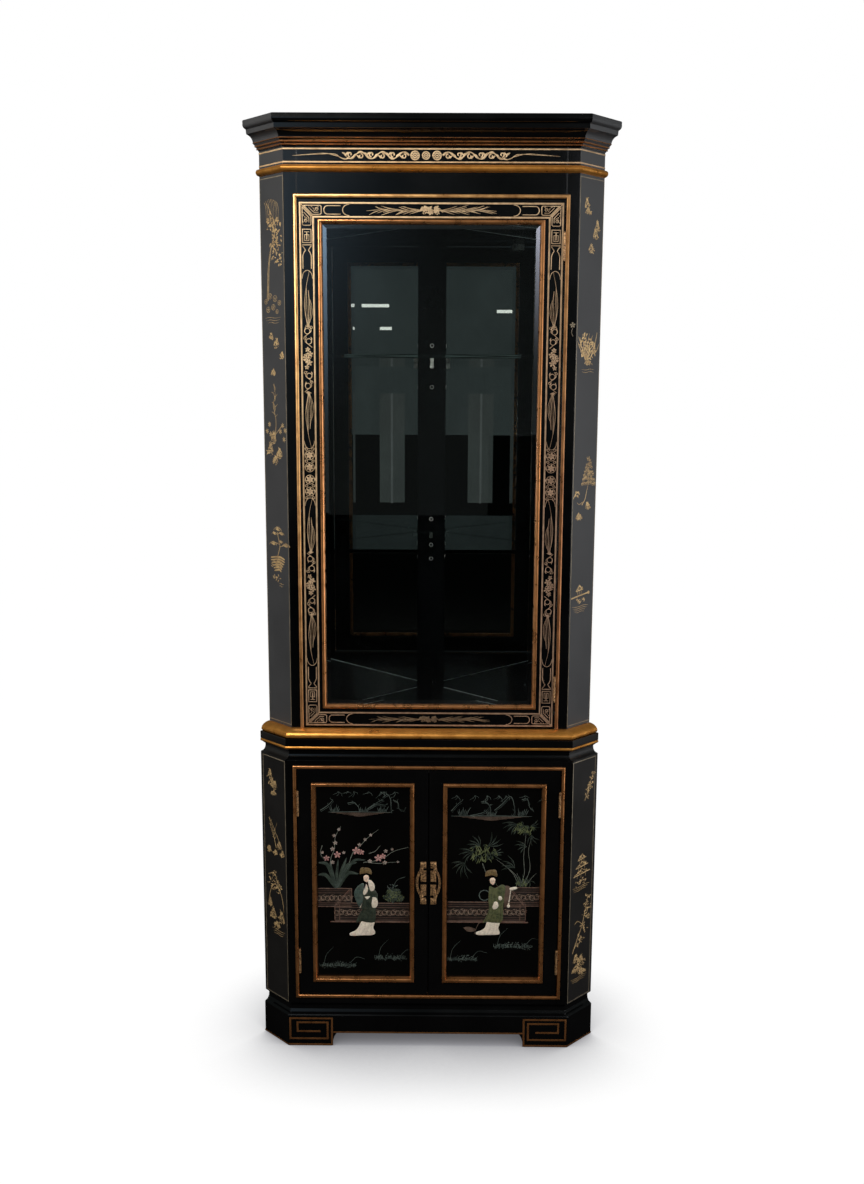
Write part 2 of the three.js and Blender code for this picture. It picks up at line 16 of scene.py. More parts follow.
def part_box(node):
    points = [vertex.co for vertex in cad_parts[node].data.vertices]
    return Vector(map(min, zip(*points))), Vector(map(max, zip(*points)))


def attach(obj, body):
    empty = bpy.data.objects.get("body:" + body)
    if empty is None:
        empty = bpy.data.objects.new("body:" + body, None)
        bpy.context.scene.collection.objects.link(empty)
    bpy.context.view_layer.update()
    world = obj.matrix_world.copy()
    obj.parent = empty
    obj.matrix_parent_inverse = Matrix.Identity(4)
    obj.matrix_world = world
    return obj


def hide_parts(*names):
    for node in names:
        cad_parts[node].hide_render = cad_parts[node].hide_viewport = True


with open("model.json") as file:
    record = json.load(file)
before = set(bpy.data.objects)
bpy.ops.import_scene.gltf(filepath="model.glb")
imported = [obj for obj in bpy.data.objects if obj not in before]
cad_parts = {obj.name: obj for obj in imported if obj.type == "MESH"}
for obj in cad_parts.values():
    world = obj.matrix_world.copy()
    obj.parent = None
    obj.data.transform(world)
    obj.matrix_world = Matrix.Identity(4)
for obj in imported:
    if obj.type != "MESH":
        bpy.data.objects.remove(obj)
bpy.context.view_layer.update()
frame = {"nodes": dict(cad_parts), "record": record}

# ---- Driving dimensions, read from the frame ----
MM = 0.001
ROOT2 = math.sqrt(2)
UP = Vector((0, 0, 1))
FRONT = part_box("upper_stile_left")[0].y
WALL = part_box("back_board_right")[1].y - FRONT + 0.15 * MM
HALF = 2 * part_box("upper_side_right")[1].x - WALL


def offsets(front_node, side_node):
    """How far a level stands out from the display case at its front and at its returns, in millimetres."""
    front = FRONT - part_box(front_node)[0].y
    side = (2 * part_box(side_node)[1].x - WALL - HALF) / ROOT2
    return front / MM, side / MM


DISPLAY = (0.0, 0.0)
CUPBOARD = offsets("lower_stile_left", "lower_side_right")
PLINTH = offsets("plinth", "plinth")
CASE_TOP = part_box("frieze_rail")[1].z / MM
PLINTH_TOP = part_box("plinth")[1].z / MM
WAIST_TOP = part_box("waist_moulding")[1].z / MM
BEHIND = -18.0  # where the back of the cornice and waist run lies, behind the case's face
PANEL_MOULDING = 9.5  # the width of the moulding round a cupboard panel
SIDES = (-1, "left"), (1, "right")


# ---- Plan and mouldings ----
def front_corner(front, side):
    return HALF + (side * ROOT2 - front) * MM, FRONT - front * MM


def wall_corner(side):
    across = HALF + side * ROOT2 * MM
    return (WALL + across) / 2, FRONT + (WALL - across) / 2


def arc(centre, radii, start, end, steps):
    """Points on part of an ellipse, between two angles in degrees."""
    angles = [math.radians(start + (end - start) * i / steps) for i in range(steps + 1)]
    return [(centre[0] + radii[0] * math.cos(a), centre[1] + radii[1] * math.sin(a)) for a in angles]


class Solid:
    """Closed shapes gathered into one mesh."""

    def __init__(self):
        self.points = []
        self.faces = []

    def loft(self, rings, closed=False):
        """A solid through equal rings of points; its ends are capped unless it closes on itself."""
        base = len(self.points)
        size = len(rings[0])
        for ring in rings:
            self.points.extend(ring)
        for r in range(len(rings) if closed else len(rings) - 1):
            this = base + r * size
            following = base + (r + 1) % len(rings) * size
            for i in range(size):
                j = (i + 1) % size
                self.faces.append((this + i, this + j, following + j, following + i))
        if not closed:
            last = base + (len(rings) - 1) * size
            self.faces.append(tuple(range(base + size - 1, base - 1, -1)))
            self.faces.append(tuple(range(last, last + size)))
        return self

    def along_case(self, profile):
        """A moulding round returns and front, from points (front, level) or (front, level, side)."""
        rings = []
        for sign, corner in ((-1, "wall"), (-1, "front"), (1, "front"), (1, "wall")):
            ring = []
            for front, level, *own_side in profile:
                side = own_side[0] if own_side else front
                x, y = wall_corner(side) if corner == "wall" else front_corner(front, side)
                ring.append((sign * x, y, level * MM))
            rings.append(ring)
        return self.loft(rings)

    def frame(self, low, high, profile, open_below=False):
        """A mitred frame whose outer edge is the XZ rectangle low..high. Profile points are (inset, y)."""
        corners = [(0, 0), (0, 1), (1, 1), (1, 0)]
        rings = []
        for right, top in corners:
            ring = []
            for inset, y in profile:
                x = high.x - inset if right else low.x + inset
                z = high.z - inset if top else low.z + (0 if open_below else inset)
                ring.append((x, y, z))
            rings.append(ring)
        return self.loft(rings, closed=not open_below)

    def finish(self, name, material, body, slot, replaced=(), sharp=32):
        mesh = bpy.data.meshes.new(name)
        mesh.from_pydata(self.points, [], self.faces)
        work = bmesh.new()
        work.from_mesh(mesh)
        bmesh.ops.recalc_face_normals(work, faces=work.faces)
        work.to_mesh(mesh)
        work.free()
        mesh.shade_smooth()
        mesh.set_sharp_from_angle(angle=math.radians(sharp))
        mesh.materials.append(material)
        piece = bpy.data.objects.new(name, mesh)
        bpy.context.scene.collection.objects.link(piece)
        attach(piece, body)
        if replaced:
            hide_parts(*replaced)
        return piece


# ---- Materials ----
class Finish:
    """A Principled material, with short ways to add the nodes that vary it."""

    def __init__(self, name, **constants):
        self.material = bpy.data.materials.new(name)
        self.material.use_nodes = True
        self.tree = self.material.node_tree
        self.shader = self.tree.nodes["Principled BSDF"]
        for socket, value in constants.items():
            self.shader.inputs[socket.replace("_", " ")].default_value = value
        self.place = self.tree.nodes.new("ShaderNodeTexCoord").outputs["Object"]

    def node(self, kind, output, inputs, **settings):
        made = self.tree.nodes.new("ShaderNode" + kind)
        for key, value in settings.items():
            setattr(made, key, value)
        for key, value in inputs.items():
            if isinstance(value, bpy.types.NodeSocket):
                self.tree.links.new(value, made.inputs[key])
            else:
                made.inputs[key].default_value = value
        return made.outputs[output]

    def stretched(self, stretch):
        return self.node("Mapping", "Vector", {"Vector": self.place, "Scale": stretch})

    def noise(self, scale, detail, stretch=(1, 1, 1), roughness=0.5, distortion=0.0):
        inputs = {
            "Vector": self.stretched(stretch),
            "Scale": scale,
            "Detail": detail,
            "Roughness": roughness,
            "Distortion": distortion,
        }
        return self.node("TexNoise", "Fac", inputs)

    def cells(self, scale):
        inputs = {"Vector": self.stretched((1, 1, 1)), "Scale": scale}
        return self.node("TexVoronoi", "Distance", inputs)

    def fit(self, factor, low, high, start=0.3, end=0.7):
        """Carries start..end of a texture to low..high."""
        inputs = {"Value": factor, "From Min": start, "From Max": end, "To Min": low, "To Max": high}
        return self.node("MapRange", "Result", inputs)

    def ramp(self, factor, *stops):
        made = self.tree.nodes.new("ShaderNodeValToRGB")
        self.tree.links.new(factor, made.inputs["Fac"])
        elements = made.color_ramp.elements
        while len(elements) < len(stops):
            elements.new(0.5)
        for element, (position, colour) in zip(elements, stops):
            element.position = position
            element.color = (*colour, 1)
        return made.outputs["Color"]

    def mix(self, factor, first, second):
        return self.node("MixRGB", "Color", {"Fac": factor, "Color1": first, "Color2": second})

    def drive(self, socket, value):
        self.tree.links.new(value, self.shader.inputs[socket])

    def colour(self, factor, *stops):
        self.drive("Base Color", self.ramp(factor, *stops))

    def gloss(self, factor, low, high):
        self.drive("Roughness", self.fit(factor, low, high))

    def bump(self, height, depth, strength):
        normal = self.node("Bump", "Normal", {"Height": height, "Distance": depth, "Strength": strength})
        self.drive("Normal", normal)


def lacquer(name, dark, light, gloss, ripple, coat=0.35, shine=0.5):
    """Sprayed lacquer: faint orange peel, and a sheen that is duller where it has been handled."""
    finish = Finish(name, IOR=1.48, Coat_Weight=coat, Coat_Roughness=0.06, Specular_IOR_Level=shine)
    handling = finish.noise(7, 5, roughness=0.62)
    finish.colour(handling, (0.3, dark), (0.75, light))
    finish.gloss(handling, *gloss)
    finish.bump(finish.noise(420, 2), 0.0002, ripple)
    return finish.material


def lit_from_top_left(finish, lit_tones, shaded_tones):
    """Painted light and shade: lightest at the top left of the front and darker towards the bottom right,
    as if lit from the top left.
    """
    place = finish.node("VectorMath", "Value", {0: finish.place, 1: (-1.4, 0, 1)}, operation="DOT_PRODUCT")
    return finish.mix(finish.fit(place, 0, 1, 0.85, 1.95), shaded_tones, lit_tones)


def gilding(name, bright, worn, ground, gloss=(0.26, 0.44), wear=0.62, shaded_tones=None, metal=0.68):
    """Bronze-gold leaf: clouded tone, a fine brushed grain, and ground colour where it has rubbed."""
    finish = Finish(name, Metallic=metal)
    clouds = finish.noise(34, 6, roughness=0.65)
    grain = finish.noise(900, 3, stretch=(0.16, 1, 1))
    leaf = finish.ramp(clouds, (0.34, worn), (0.62, bright))
    # Painted shade: given shaded tones, the leaf darkens from the top left of the front towards the bottom
    # right.
    if shaded_tones:
        leaf = lit_from_top_left(finish, leaf, finish.ramp(clouds, (0.34, shaded_tones[1]), (0.62, shaded_tones[0])))
    specks = finish.noise(260, 8, roughness=0.75)
    rubbed = finish.fit(specks, 0, 1, wear, wear + 0.07)
    finish.drive("Base Color", finish.mix(rubbed, leaf, (*ground, 1)))
    finish.gloss(clouds, *gloss)
    finish.bump(grain, 0.0003, 0.35)
    return finish.material


def paint(name, light, dark, metal=0.35, shaded_tones=None):
    """Hand-laid paint: uneven in strength along each stroke."""
    finish = Finish(name, Metallic=metal)
    strength = finish.noise(60, 5, roughness=0.7)
    colour = finish.ramp(strength, (0.32, dark), (0.6, light))
    # Painted shade: given shaded tones, the paint darkens from the top left of the front towards the bottom
    # right.
    if shaded_tones:
        colour = lit_from_top_left(finish, colour, finish.ramp(strength, (0.32, shaded_tones[1]), (0.6, shaded_tones[0])))
    finish.drive("Base Color", colour)
    finish.gloss(strength, 0.36, 0.6)
    finish.bump(finish.noise(1400, 2), 0.0001, 0.4)
    return finish.material


def stone(name, light, dark, vein=30):
    """Carved and tinted soapstone: cloudy, faintly veined, with a soft polish."""
    finish = Finish(name, Subsurface_Weight=0.08, Subsurface_Scale=0.002)
    cloud = finish.noise(vein * 4, 6, roughness=0.7, distortion=1.2)
    finish.colour(cloud, (0.36, dark), (0.58, light))
    finish.gloss(cloud, 0.32, 0.5)
    finish.bump(finish.noise(700, 3), 0.0002, 0.5)
    return finish.material


def aged_brass(name, light, dark):
    """Cast brass with an engraved, pitted face and a blotchy dark tone."""
    finish = Finish(name, Metallic=0.55)
    tone = finish.noise(300, 4, roughness=0.8)
    finish.colour(tone, (0.43, dark), (0.56, light))
    finish.gloss(tone, 0.5, 0.3)
    finish.bump(finish.cells(620), 0.0006, 0.5)
    return finish.material


def raw_board():
    """The unpolished back: dark stained board with a long vertical grain."""
    finish = Finish("stained_board", Roughness=0.72)
    grain = finish.noise(60, 8, stretch=(1, 1, 0.05), roughness=0.7, distortion=0.6)
    dark, light = (0.018, 0.014, 0.011), (0.07, 0.052, 0.038)
    finish.colour(grain, (0.3, dark), (0.7, light))
    finish.bump(grain, 0.0006, 0.6)
    return finish.material


def clear_glass(name, tint, deeper, shine=0.0):
    """Float glass, a little greener where it is dusty. A bevel throws back more light: shine."""
    finish = Finish(name, Transmission_Weight=1.0, IOR=1.5, Roughness=0.0, Metallic=shine)
    smears = finish.noise(5, 4)
    finish.colour(smears, (0.35, deeper), (0.65, tint))
    return finish.material


def mirror_glass():
    finish = Finish("mirror_silver", Metallic=1.0)
    age = finish.noise(9, 6, roughness=0.6)
    dark, light = (0.62, 0.66, 0.66), (0.74, 0.78, 0.78)
    finish.colour(age, (0.3, dark), (0.7, light))
    finish.gloss(age, 0.0, 0.004)
    return finish.material


def plated_steel():
    finish = Finish("plated_steel", Metallic=1.0)
    brushed = finish.noise(300, 4, stretch=(1, 1, 0.2))
    dark, light = (0.42, 0.41, 0.39), (0.62, 0.61, 0.58)
    finish.colour(brushed, (0.3, dark), (0.7, light))
    finish.gloss(brushed, 0.24, 0.42)
    return finish.material


BLACK = lacquer("black_lacquer", (0.0007, 0.0008, 0.001), (0.0022, 0.0023, 0.0026), (0.1, 0.2), 0.12)
# The returns' charcoal is partly a lacquer lighter than the front's black and partly painted sheen,
# standing in for the side light the returns reflect.
CHARCOAL = lacquer("charcoal_lacquer", (0.034, 0.0345, 0.0365), (0.048, 0.0485, 0.051), (0.5, 0.62), 0.25)
# Painted shade: a darker copy of the charcoal lacquer, for the cupboard's returns and the waist cove's
# returns, low down where less light reaches.
SHADED_CHARCOAL_TONES = (0.0065, 0.006, 0.0055), (0.0115, 0.0105, 0.0098)
SHADED_CHARCOAL = lacquer("shaded_charcoal_lacquer", *SHADED_CHARCOAL_TONES, (0.4, 0.52), 0.25)
POST_TONES = (0.0008, 0.0011, 0.0013), (0.002, 0.0024, 0.0028)
POST_BLACK = lacquer("inside_paint", *POST_TONES, (0.14, 0.26), 0.15, coat=0, shine=0.08)
PANEL_TONES = (0.0005, 0.0005, 0.0005), (0.0014, 0.0013, 0.0012)
PANEL_BLACK = lacquer("panel_lacquer", *PANEL_TONES, (0.12, 0.22), 0.1)

GILT_TONES = (1.0, 0.45, 0.095), (0.8, 0.32, 0.06), (0.12, 0.04, 0.014)
GILT = gilding("gilt", *GILT_TONES, (0.26, 0.36), 0.68, metal=0.84)
# Darker tones for the bead's painted shade towards the bottom right of the front.
BEAD_SHADED_TONES = (0.36, 0.155, 0.06), (0.2, 0.08, 0.03)
BEAD_GILT = gilding("bead_gilt", (0.9, 0.52, 0.2), (0.56, 0.27, 0.09), (0.07, 0.028, 0.012), shaded_tones=BEAD_SHADED_TONES)
TONED_TONES = (0.62, 0.27, 0.1), (0.42, 0.175, 0.06), (0.16, 0.065, 0.025)
DARK_GILT = gilding("toned_gilt", *TONED_TONES, (0.24, 0.34), 0.74, metal=0.86)

# Darker tones for the gold lines' painted shade towards the bottom right of the front.
LINE_SHADED_TONES = (0.36, 0.23, 0.15), (0.2, 0.12, 0.075)
GOLD_LINE = paint("gold_line", (0.74, 0.52, 0.29), (0.46, 0.3, 0.15), shaded_tones=LINE_SHADED_TONES)
GOLD_FINE = paint("gold_ornament", (0.72, 0.53, 0.31), (0.38, 0.25, 0.13), shaded_tones=LINE_SHADED_TONES)
GOLD_FADED = paint("faded_gold_line", (0.24, 0.2, 0.14), (0.13, 0.105, 0.07), 0.2)
GOLD_DIM = paint("dim_gold", (0.19, 0.125, 0.07), (0.08, 0.05, 0.03), 0.2)
GOLD_TREE = paint("gold_brush", (0.62, 0.43, 0.2), (0.33, 0.21, 0.1), 0.25)

BRASS = aged_brass("aged_brass", (0.6, 0.35, 0.16), (0.06, 0.03, 0.018))
STEEL = plated_steel()
BACK = raw_board()
MIRROR = mirror_glass()
DOOR_GLASS = clear_glass("door_glass", (0.95, 0.97, 0.97), (0.9, 0.94, 0.94))
BEVEL_GLASS = clear_glass("bevelled_glass", (0.9, 0.92, 0.96), (0.85, 0.88, 0.93), 0.22)
SHELF_GLASS = clear_glass("shelf_glass", (0.74, 0.88, 0.83), (0.64, 0.82, 0.77))
# The mirrors' bevels: pale as ground glass is, and lighter still as a painted highlight of the light they
# catch.
GROUND_EDGE_HIGHLIGHT = paint("ground_edge_painted_highlight", (0.34, 0.4, 0.39), (0.18, 0.22, 0.215), 0.3)

MIST = paint("misty_green", (0.08, 0.104, 0.092), (0.024, 0.035, 0.032), 0)
BARK = paint("bark_brown", (0.12, 0.08, 0.058), (0.045, 0.028, 0.02), 0)
ROBE = stone("jade_dark", (0.04, 0.05, 0.034), (0.007, 0.012, 0.009))
IVORY = stone("ivory_stone", (0.78, 0.7, 0.58), (0.56, 0.48, 0.39))

# The layers of a panel picture: finish, how high its strokes stand, and the relief of its shapes, in mm.
INLAY = {
    "mist": (MIST, 0.24, 0),
    "bark": (BARK, 0.24, 0),
    # Painted shade: a dark sheet between the rails of a balustrade, where its carved openwork falls into
    # shadow.
    "rail_shade": (paint("rail_painted_shade", (0.009, 0.0055, 0.0045), (0.004, 0.0025, 0.002), 0), 0.1, 0),
    "rail": (stone("carved_rail", (0.15, 0.09, 0.066), (0.065, 0.037, 0.028)), 0.24, 0),
    "carving": (stone("rail_carving", (0.3, 0.21, 0.155), (0.13, 0.083, 0.06)), 0.24, 0),
    "branch": (paint("branch_green", (0.17, 0.185, 0.155), (0.06, 0.07, 0.06), 0), 0.24, 0),
    "leaf": (paint("leaf_green", (0.03, 0.044, 0.031), (0.009, 0.015, 0.011), 0), 0.34, 0),
    "mist_vein": (MIST, 0.46, 0),
    "leaf_light": (paint("young_leaf", (0.13, 0.15, 0.062), (0.045, 0.062, 0.028), 0), 0.5, 0),
    "pink": (stone("blossom_pink", (0.5, 0.28, 0.255), (0.28, 0.13, 0.125)), 0.5, 0),
    "pale": (stone("blossom_pale", (0.4, 0.33, 0.29), (0.2, 0.16, 0.14)), 0.45, 0),
    "fan": (MIST, 0.24, 0),
    "cape": (stone("jade_blue", (0.072, 0.1, 0.084), (0.027, 0.043, 0.038)), 0.24, 1.3),
    "sleeve": (BARK, 0.24, 1.2),
    "robe": (ROBE, 0.24, 1.6),
    "robe_olive": (stone("jade_olive", (0.112, 0.118, 0.052), (0.03, 0.04, 0.019)), 0.24, 1.6),
    "robe_fold": (ROBE, 1.8, 0),
    "skirt": (IVORY, 0.24, 1.4),
    "ivory": (IVORY, 0.24, 2.1),
    # Painted shade: darker lines down the folds of the ivory skirts, where the creases fall into shadow.
    "fold": (paint("ivory_fold", (0.45, 0.37, 0.3), (0.3, 0.24, 0.19), 0), 1.6, 0),
    "flesh": (stone("flesh_stone", (0.85, 0.67, 0.52), (0.74, 0.55, 0.42)), 0.24, 1.9),
    "hair": (stone("hair_stone", (0.22, 0.145, 0.06), (0.035, 0.021, 0.012), 75), 0.24, 2.3),
    "ink": (paint("face_ink", (0.06, 0.04, 0.035), (0.03, 0.02, 0.018), 0), 2.15, 0),
    "lips": (paint("lip_red", (0.55, 0.16, 0.12), (0.4, 0.1, 0.08), 0), 2.2, 0),
}


# ---- Case mouldings ----
def second_finish(piece, material, chosen):
    """Gives the chosen faces of a piece another material."""
    piece.data.materials.append(material)
    for face in piece.data.polygons:
        if chosen(face):
            face.material_index = 1


def dress_returns(piece, material):
    """Gives a run its own material where it turns along the returns."""
    second_finish(piece, material, lambda face: abs(face.normal.x) > 0.02)


def make_cornice():
    base = CASE_TOP + 0.3
    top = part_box("cornice")[1].z / MM
    recess = 1910  # the hollow behind the cornice goes down to this level
    profile = [
        (BEHIND, base),
        (1.4, base),
        (1.8, base + 1.6),
        (4.6, base + 3.0),
        (5.2, base + 5.2),
        (8.8, base + 7.0),
        (9.6, base + 9.6),
        (13.4, base + 12.4),
        *arc((31, base + 13.4), (17, 14.6), 180, 104, 12),
        (29.6, base + 28.6),
        (30.6, base + 37),
        (33.4, base + 38.2),
        *arc((32.6, base + 45.2), (5.9, 6.7), -62, 20, 8),
        (38.5, top - 3),
        (37.6, top - 0.8),
        (35.6, top),
        (14, top),
        (-8, recess),
        (BEHIND, recess),
    ]
    run = Solid().along_case(profile).finish("cornice_run", BLACK, "case", "black_lacquer", ["cornice"])
    dress_returns(run, CHARCOAL)
    lines = Solid()
    for front, rise, radius in ((4.7, 2.9, 1.35), (9.0, 7.9, 1.35), (14.2, 13.6, 0.8)):
        lines.along_case(arc((front, base + rise), (radius, radius), 0, 324, 9))
    lines.finish("cornice_gold_beads", DARK_GILT, "case", "gilt")


def make_frieze_bead():
    low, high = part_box("frieze_bead")
    bottom, top = low.z / MM, high.z / MM
    proud = (FRONT - low.y) / MM
    middle, rise = (bottom + top) / 2, (top - bottom) / 2
    profile = [(0.3, bottom), *arc((0.6, middle), (proud - 0.6, rise - 0.6), -90, 90, 18), (0.3, top)]
    Solid().along_case(profile).finish("frieze_half_round", GILT, "case", "gilt", ["frieze_bead"])


def make_waist():
    low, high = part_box("waist_nosing")
    bottom, top = low.z / MM, high.z / MM
    belly = bottom + 4.5
    nosing = [
        (0, bottom),
        *arc((18, belly), (4, 4.5), -90, 0, 5),
        *arc((0, belly), (22, top - belly), 0, 90, 18)[1:],
    ]
    Solid().along_case(nosing).finish("waist_thumb_moulding", GILT, "case", "gilt", ["waist_nosing"])
    front, side = CUPBOARD
    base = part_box("waist_moulding")[0].z / MM
    cove_middle, bead_middle = (22.4, 665.5), (22.9, 679.7)
    moulding = [
        (BEHIND, base),
        (front, base, side),
        (front, base + 1.2, side),
        *arc(cove_middle, (10.2, 11.4), 262, 180, 10),
        (12.2, 668.4),
        (21.6, 675.8),
        (23.6, 676.6),
        (23.6, 683),
        (24.8, 683.4),
        (25, 684.4),
        (25, WAIST_TOP - 0.8),
        (24.2, WAIST_TOP),
        (BEHIND, WAIST_TOP),
    ]
    run = Solid().along_case(moulding)
    cove = run.finish("waist_cove", BLACK, "case", "black_lacquer", ["waist_moulding"])
    # The cove's returns take the painted-shade copy of the charcoal lacquer.
    dress_returns(cove, SHADED_CHARCOAL)
    bead = Solid().along_case(arc(bead_middle, (2.6, 3.1), -100, 100, 12))
    bead.finish("waist_gold_bead", GILT, "case", "gilt")


def bead_section(face, proud, width):
    """A bead's rounded section as (inset, y), standing on a face."""
    round_top = arc((width / 2, proud * 0.4), (width / 2, proud * 0.6), 180, 0, 12)
    outline = [(0, 0.3), *round_top, (width, 0.3)]
    return [(inset * MM, face - out * MM) for inset, out in outline]


def make_cock_beads():
    for name, material in (("upper", BEAD_GILT), ("lower", DARK_GILT)):
        node = f"{name}_cock_bead"
        low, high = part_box(node)
        face = high.y + 0.3 * MM
        proud = (face - low.y) / MM
        section = bead_section(face, proud, 7)
        bead = Solid().frame(low, high, section, open_below=name == "upper")
        bead.finish(f"{name}_door_bead", material, "case", "gilt", [node])


def door_moulding(door, node, name, section):
    """A mitred moulding in its node's place; section points are (inset, depth behind the door's face)."""
    low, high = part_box(node)
    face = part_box(f"{door}_frame")[0].y / MM
    points = [(inset * MM, (face + depth) * MM) for inset, depth in section]
    Solid().frame(low, high, points).finish(name, DARK_GILT, door, "gilt", [node])


def make_glass_moulding():
    outer = arc((2.6, 0.2), (2.6, 2.7), 180, 270, 5)
    inner = arc((2.6, 1.6), (4.6, 4.1), 270, 350, 8)
    section = [(0, 1.2), *outer, *inner, (8.1, 2.6), (8.2, 6), (0, 6)]
    door_moulding("upper_door", "glass_moulding", "glazing_moulding", section)


def make_panel_beads():
    outer = arc((2.6, -2.3), (2.6, 3), 180, 270, 5)
    inner = arc((4.4, -2.2), (3.4, 3.1), 270, 350, 6)
    section = [(0, -0.3), (0, -2.2), *outer, *inner]
    section += [(8.2, -0.4), (9.4, 3), (PANEL_MOULDING, 5.7), (4, 5.7), (4, -0.3)]
    for _, end in SIDES:
        door_moulding(f"{end}_door", f"{end}_panel_bead", f"{end}_panel_moulding", section)


def make_door_glass():
    """A plate with a bevelled margin."""
    low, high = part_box("door_glass")
    bevel, fall = 17 * MM, 1.4 * MM

    def ring(inset, y):
        left, right, bottom, top = low.x + inset, high.x - inset, low.z + inset, high.z - inset
        return [(left, y, bottom), (right, y, bottom), (right, y, top), (left, y, top)]

    plate = Solid().loft([ring(0, high.y), ring(0, low.y + fall), ring(bevel, low.y)])
    dress = DOOR_GLASS, "upper_door", "door_glass", ["door_glass"]
    piece = plate.finish("bevelled_door_glass", *dress, sharp=1)
    second_finish(piece, BEVEL_GLASS, lambda face: 0.9 < abs(face.normal.y) < 0.9999)
    piece.visible_shadow = False


# ---- Mirrors and shelf fittings ----
def mirror_plate(node, hand):
    """A plate standing where a mirror's node does, with a narrow ground bevel round its face."""
    bevel, fall = 1.6 * MM, 0.7 * MM
    low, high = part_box(node)
    along = Vector((hand, -1, 0)) / ROOT2
    forward = Vector((-hand, -1, 0)) / ROOT2
    corners = [vertex.co.copy() for vertex in frame["nodes"][node].data.vertices]
    reach = [corner.dot(along) for corner in corners]
    depth = [corner.dot(forward) for corner in corners]
    start, end, back, front = min(reach), max(reach), min(depth), max(depth)

    def ring(inset, level):
        near, far = start + inset, end - inset
        bottom, top = low.z + inset, high.z - inset
        ends = (near, bottom), (near, top), (far, top), (far, bottom)
        return [tuple(along * a + forward * level + UP * z) for a, z in ends]

    plate = Solid().loft([ring(0, back), ring(0, front - fall), ring(bevel, front)])
    return plate, (end - start) * (high.z - low.z)


def make_mirrors():
    """The bevel of each mirror shows as a pale line round it, beside its one wide silvered face: pale
    ground glass, brightened as a painted highlight.
    """
    for hand, name in SIDES:
        node = f"mirror_{name}"
        plate, area = mirror_plate(node, hand)
        piece = plate.finish(f"{name}_mirror_plate", MIRROR, "case", "mirror", [node], sharp=1)
        second_finish(piece, GROUND_EDGE_HIGHLIGHT, lambda face: face.area < 0.5 * area)


SOCKET_PITCH = 47 * MM
PIN_DROP = 4 * MM  # from a shelf pin's axis down to the lowest point of its rest


def socket(solid, centre):
    """A turned steel socket let into the front of the corner post."""
    rings = []
    for radius, height in ((4.7, -0.4), (4.7, 0.5), (4.3, 0.9), (3.6, 0.9), (3.1, 0.4), (3, -0.4)):
        ring = circle((0, 0), radius * MM, 20)
        rings.append([tuple(Vector(centre) + Vector((x, -height * MM, z))) for x, z in ring])
    solid.loft(rings, closed=True)


def make_ferrules():
    """Sockets up the corner post, in threes: one at each shelf pin, with a spare above and below it."""
    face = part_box("corner_post")[0].y
    solid = Solid()
    for shelf in ("lower", "upper"):
        pin_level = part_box(f"shelf_pin_{shelf}_post")[0].z + PIN_DROP
        for step in (-1, 0, 1):
            socket(solid, (0, face, pin_level + step * SOCKET_PITCH))
    solid.finish("post_ferrules", STEEL, "case", "steel", sharp=40)


# ---- CAD pieces that keep their shape ----
def soften(node, width):
    """Eases the arrises of a board."""
    piece = frame["nodes"][node]
    weld = piece.modifiers.new("weld", "WELD")
    weld.merge_threshold = 0.01 * MM
    bevel = piece.modifiers.new("arris", "BEVEL")
    bevel.width = width
    bevel.segments = 2
    bevel.limit_method = "ANGLE"
    bevel.angle_limit = math.radians(40)
    bevel.harden_normals = True


def dress_cad():
    """Gives every carried-over node its finish, and eases the arrises of those that have them."""
    by_slot = {
        "black_lacquer": BLACK,
        "charcoal_lacquer": CHARCOAL,
        "corner_paint": POST_BLACK,
        "back_board": BACK,
        "gilt": GILT,
        "inlay_panel": PANEL_BLACK,
        "brass": BRASS,
        "door_glass": DOOR_GLASS,
        "shelf_glass": SHELF_GLASS,
        "mirror": MIRROR,
        "steel": STEEL,
    }
    own_finish = {
        # The cupboard's returns take the painted-shade copy of the charcoal lacquer.
        "lower_side_left": SHADED_CHARCOAL,
        "lower_side_right": SHADED_CHARCOAL,
        "waist_board": POST_BLACK,
        "display_ceiling": POST_BLACK,
    }
    ease = {"black_lacquer": 0.9, "charcoal_lacquer": 0.9, "brass": 0.35, "shelf_glass": 0.8, "steel": 0.3}
    for part in frame["record"]["subparts"]:
        node, slot = part["node"], part["material_slot"]
        piece = frame["nodes"][node]
        finish = own_finish.get(node, by_slot[slot])
        for index in range(len(piece.data.materials)):
            piece.data.materials[index] = finish
        if slot in ease:
            soften(node, ease[slot] * MM)
        if slot == "shelf_glass":
            piece.visible_shadow = False


# ---- Brushwork ----
def smooth(points, steps=6):
    """A curve that passes through the points."""
    line = [Vector(point) for point in points]
    padded = [2 * line[0] - line[1], *line, 2 * line[-1] - line[-2]]
    curve = []
    for a, b, c, d in zip(padded, padded[1:], padded[2:], padded[3:]):
        for i in range(steps):
            t = i / steps
            bend, twist = 2 * a - 5 * b + 4 * c - d, 3 * (b - c) + d - a
            curve.append(b + 0.5 * t * (c - a + t * (bend + t * twist)))
    return [*curve, line[-1]]


def loop(points):
    """A closed curve that passes through the points."""
    steps = 5
    line = [*points[-2:], *points, *points[:2]]
    return smooth(line, steps)[2 * steps : -2 * steps - 1]


def circle(centre, radius, steps=18):
    return arc(centre, (radius, radius), 0, 360 * (1 - 1 / steps), steps - 1)


def swell(widest, tip=0.15):
    """A stroke that is widest half way along."""
    return lambda way: widest * (tip + (1 - tip) * math.sin(math.pi * way) ** 0.8)


def tail(widest, tip):
    """A stroke that runs out to a point."""
    return lambda way: widest * (1 - (1 - tip) * way)


def around(place, steps):
    """Points given as steps across and up from a place."""
    return [(place[0] + across, place[1] + up) for across, up in steps]


def polar(centre, radius, degrees):
    angle = math.radians(degrees)
    return centre[0] + radius * math.cos(angle), centre[1] + radius * math.sin(angle)


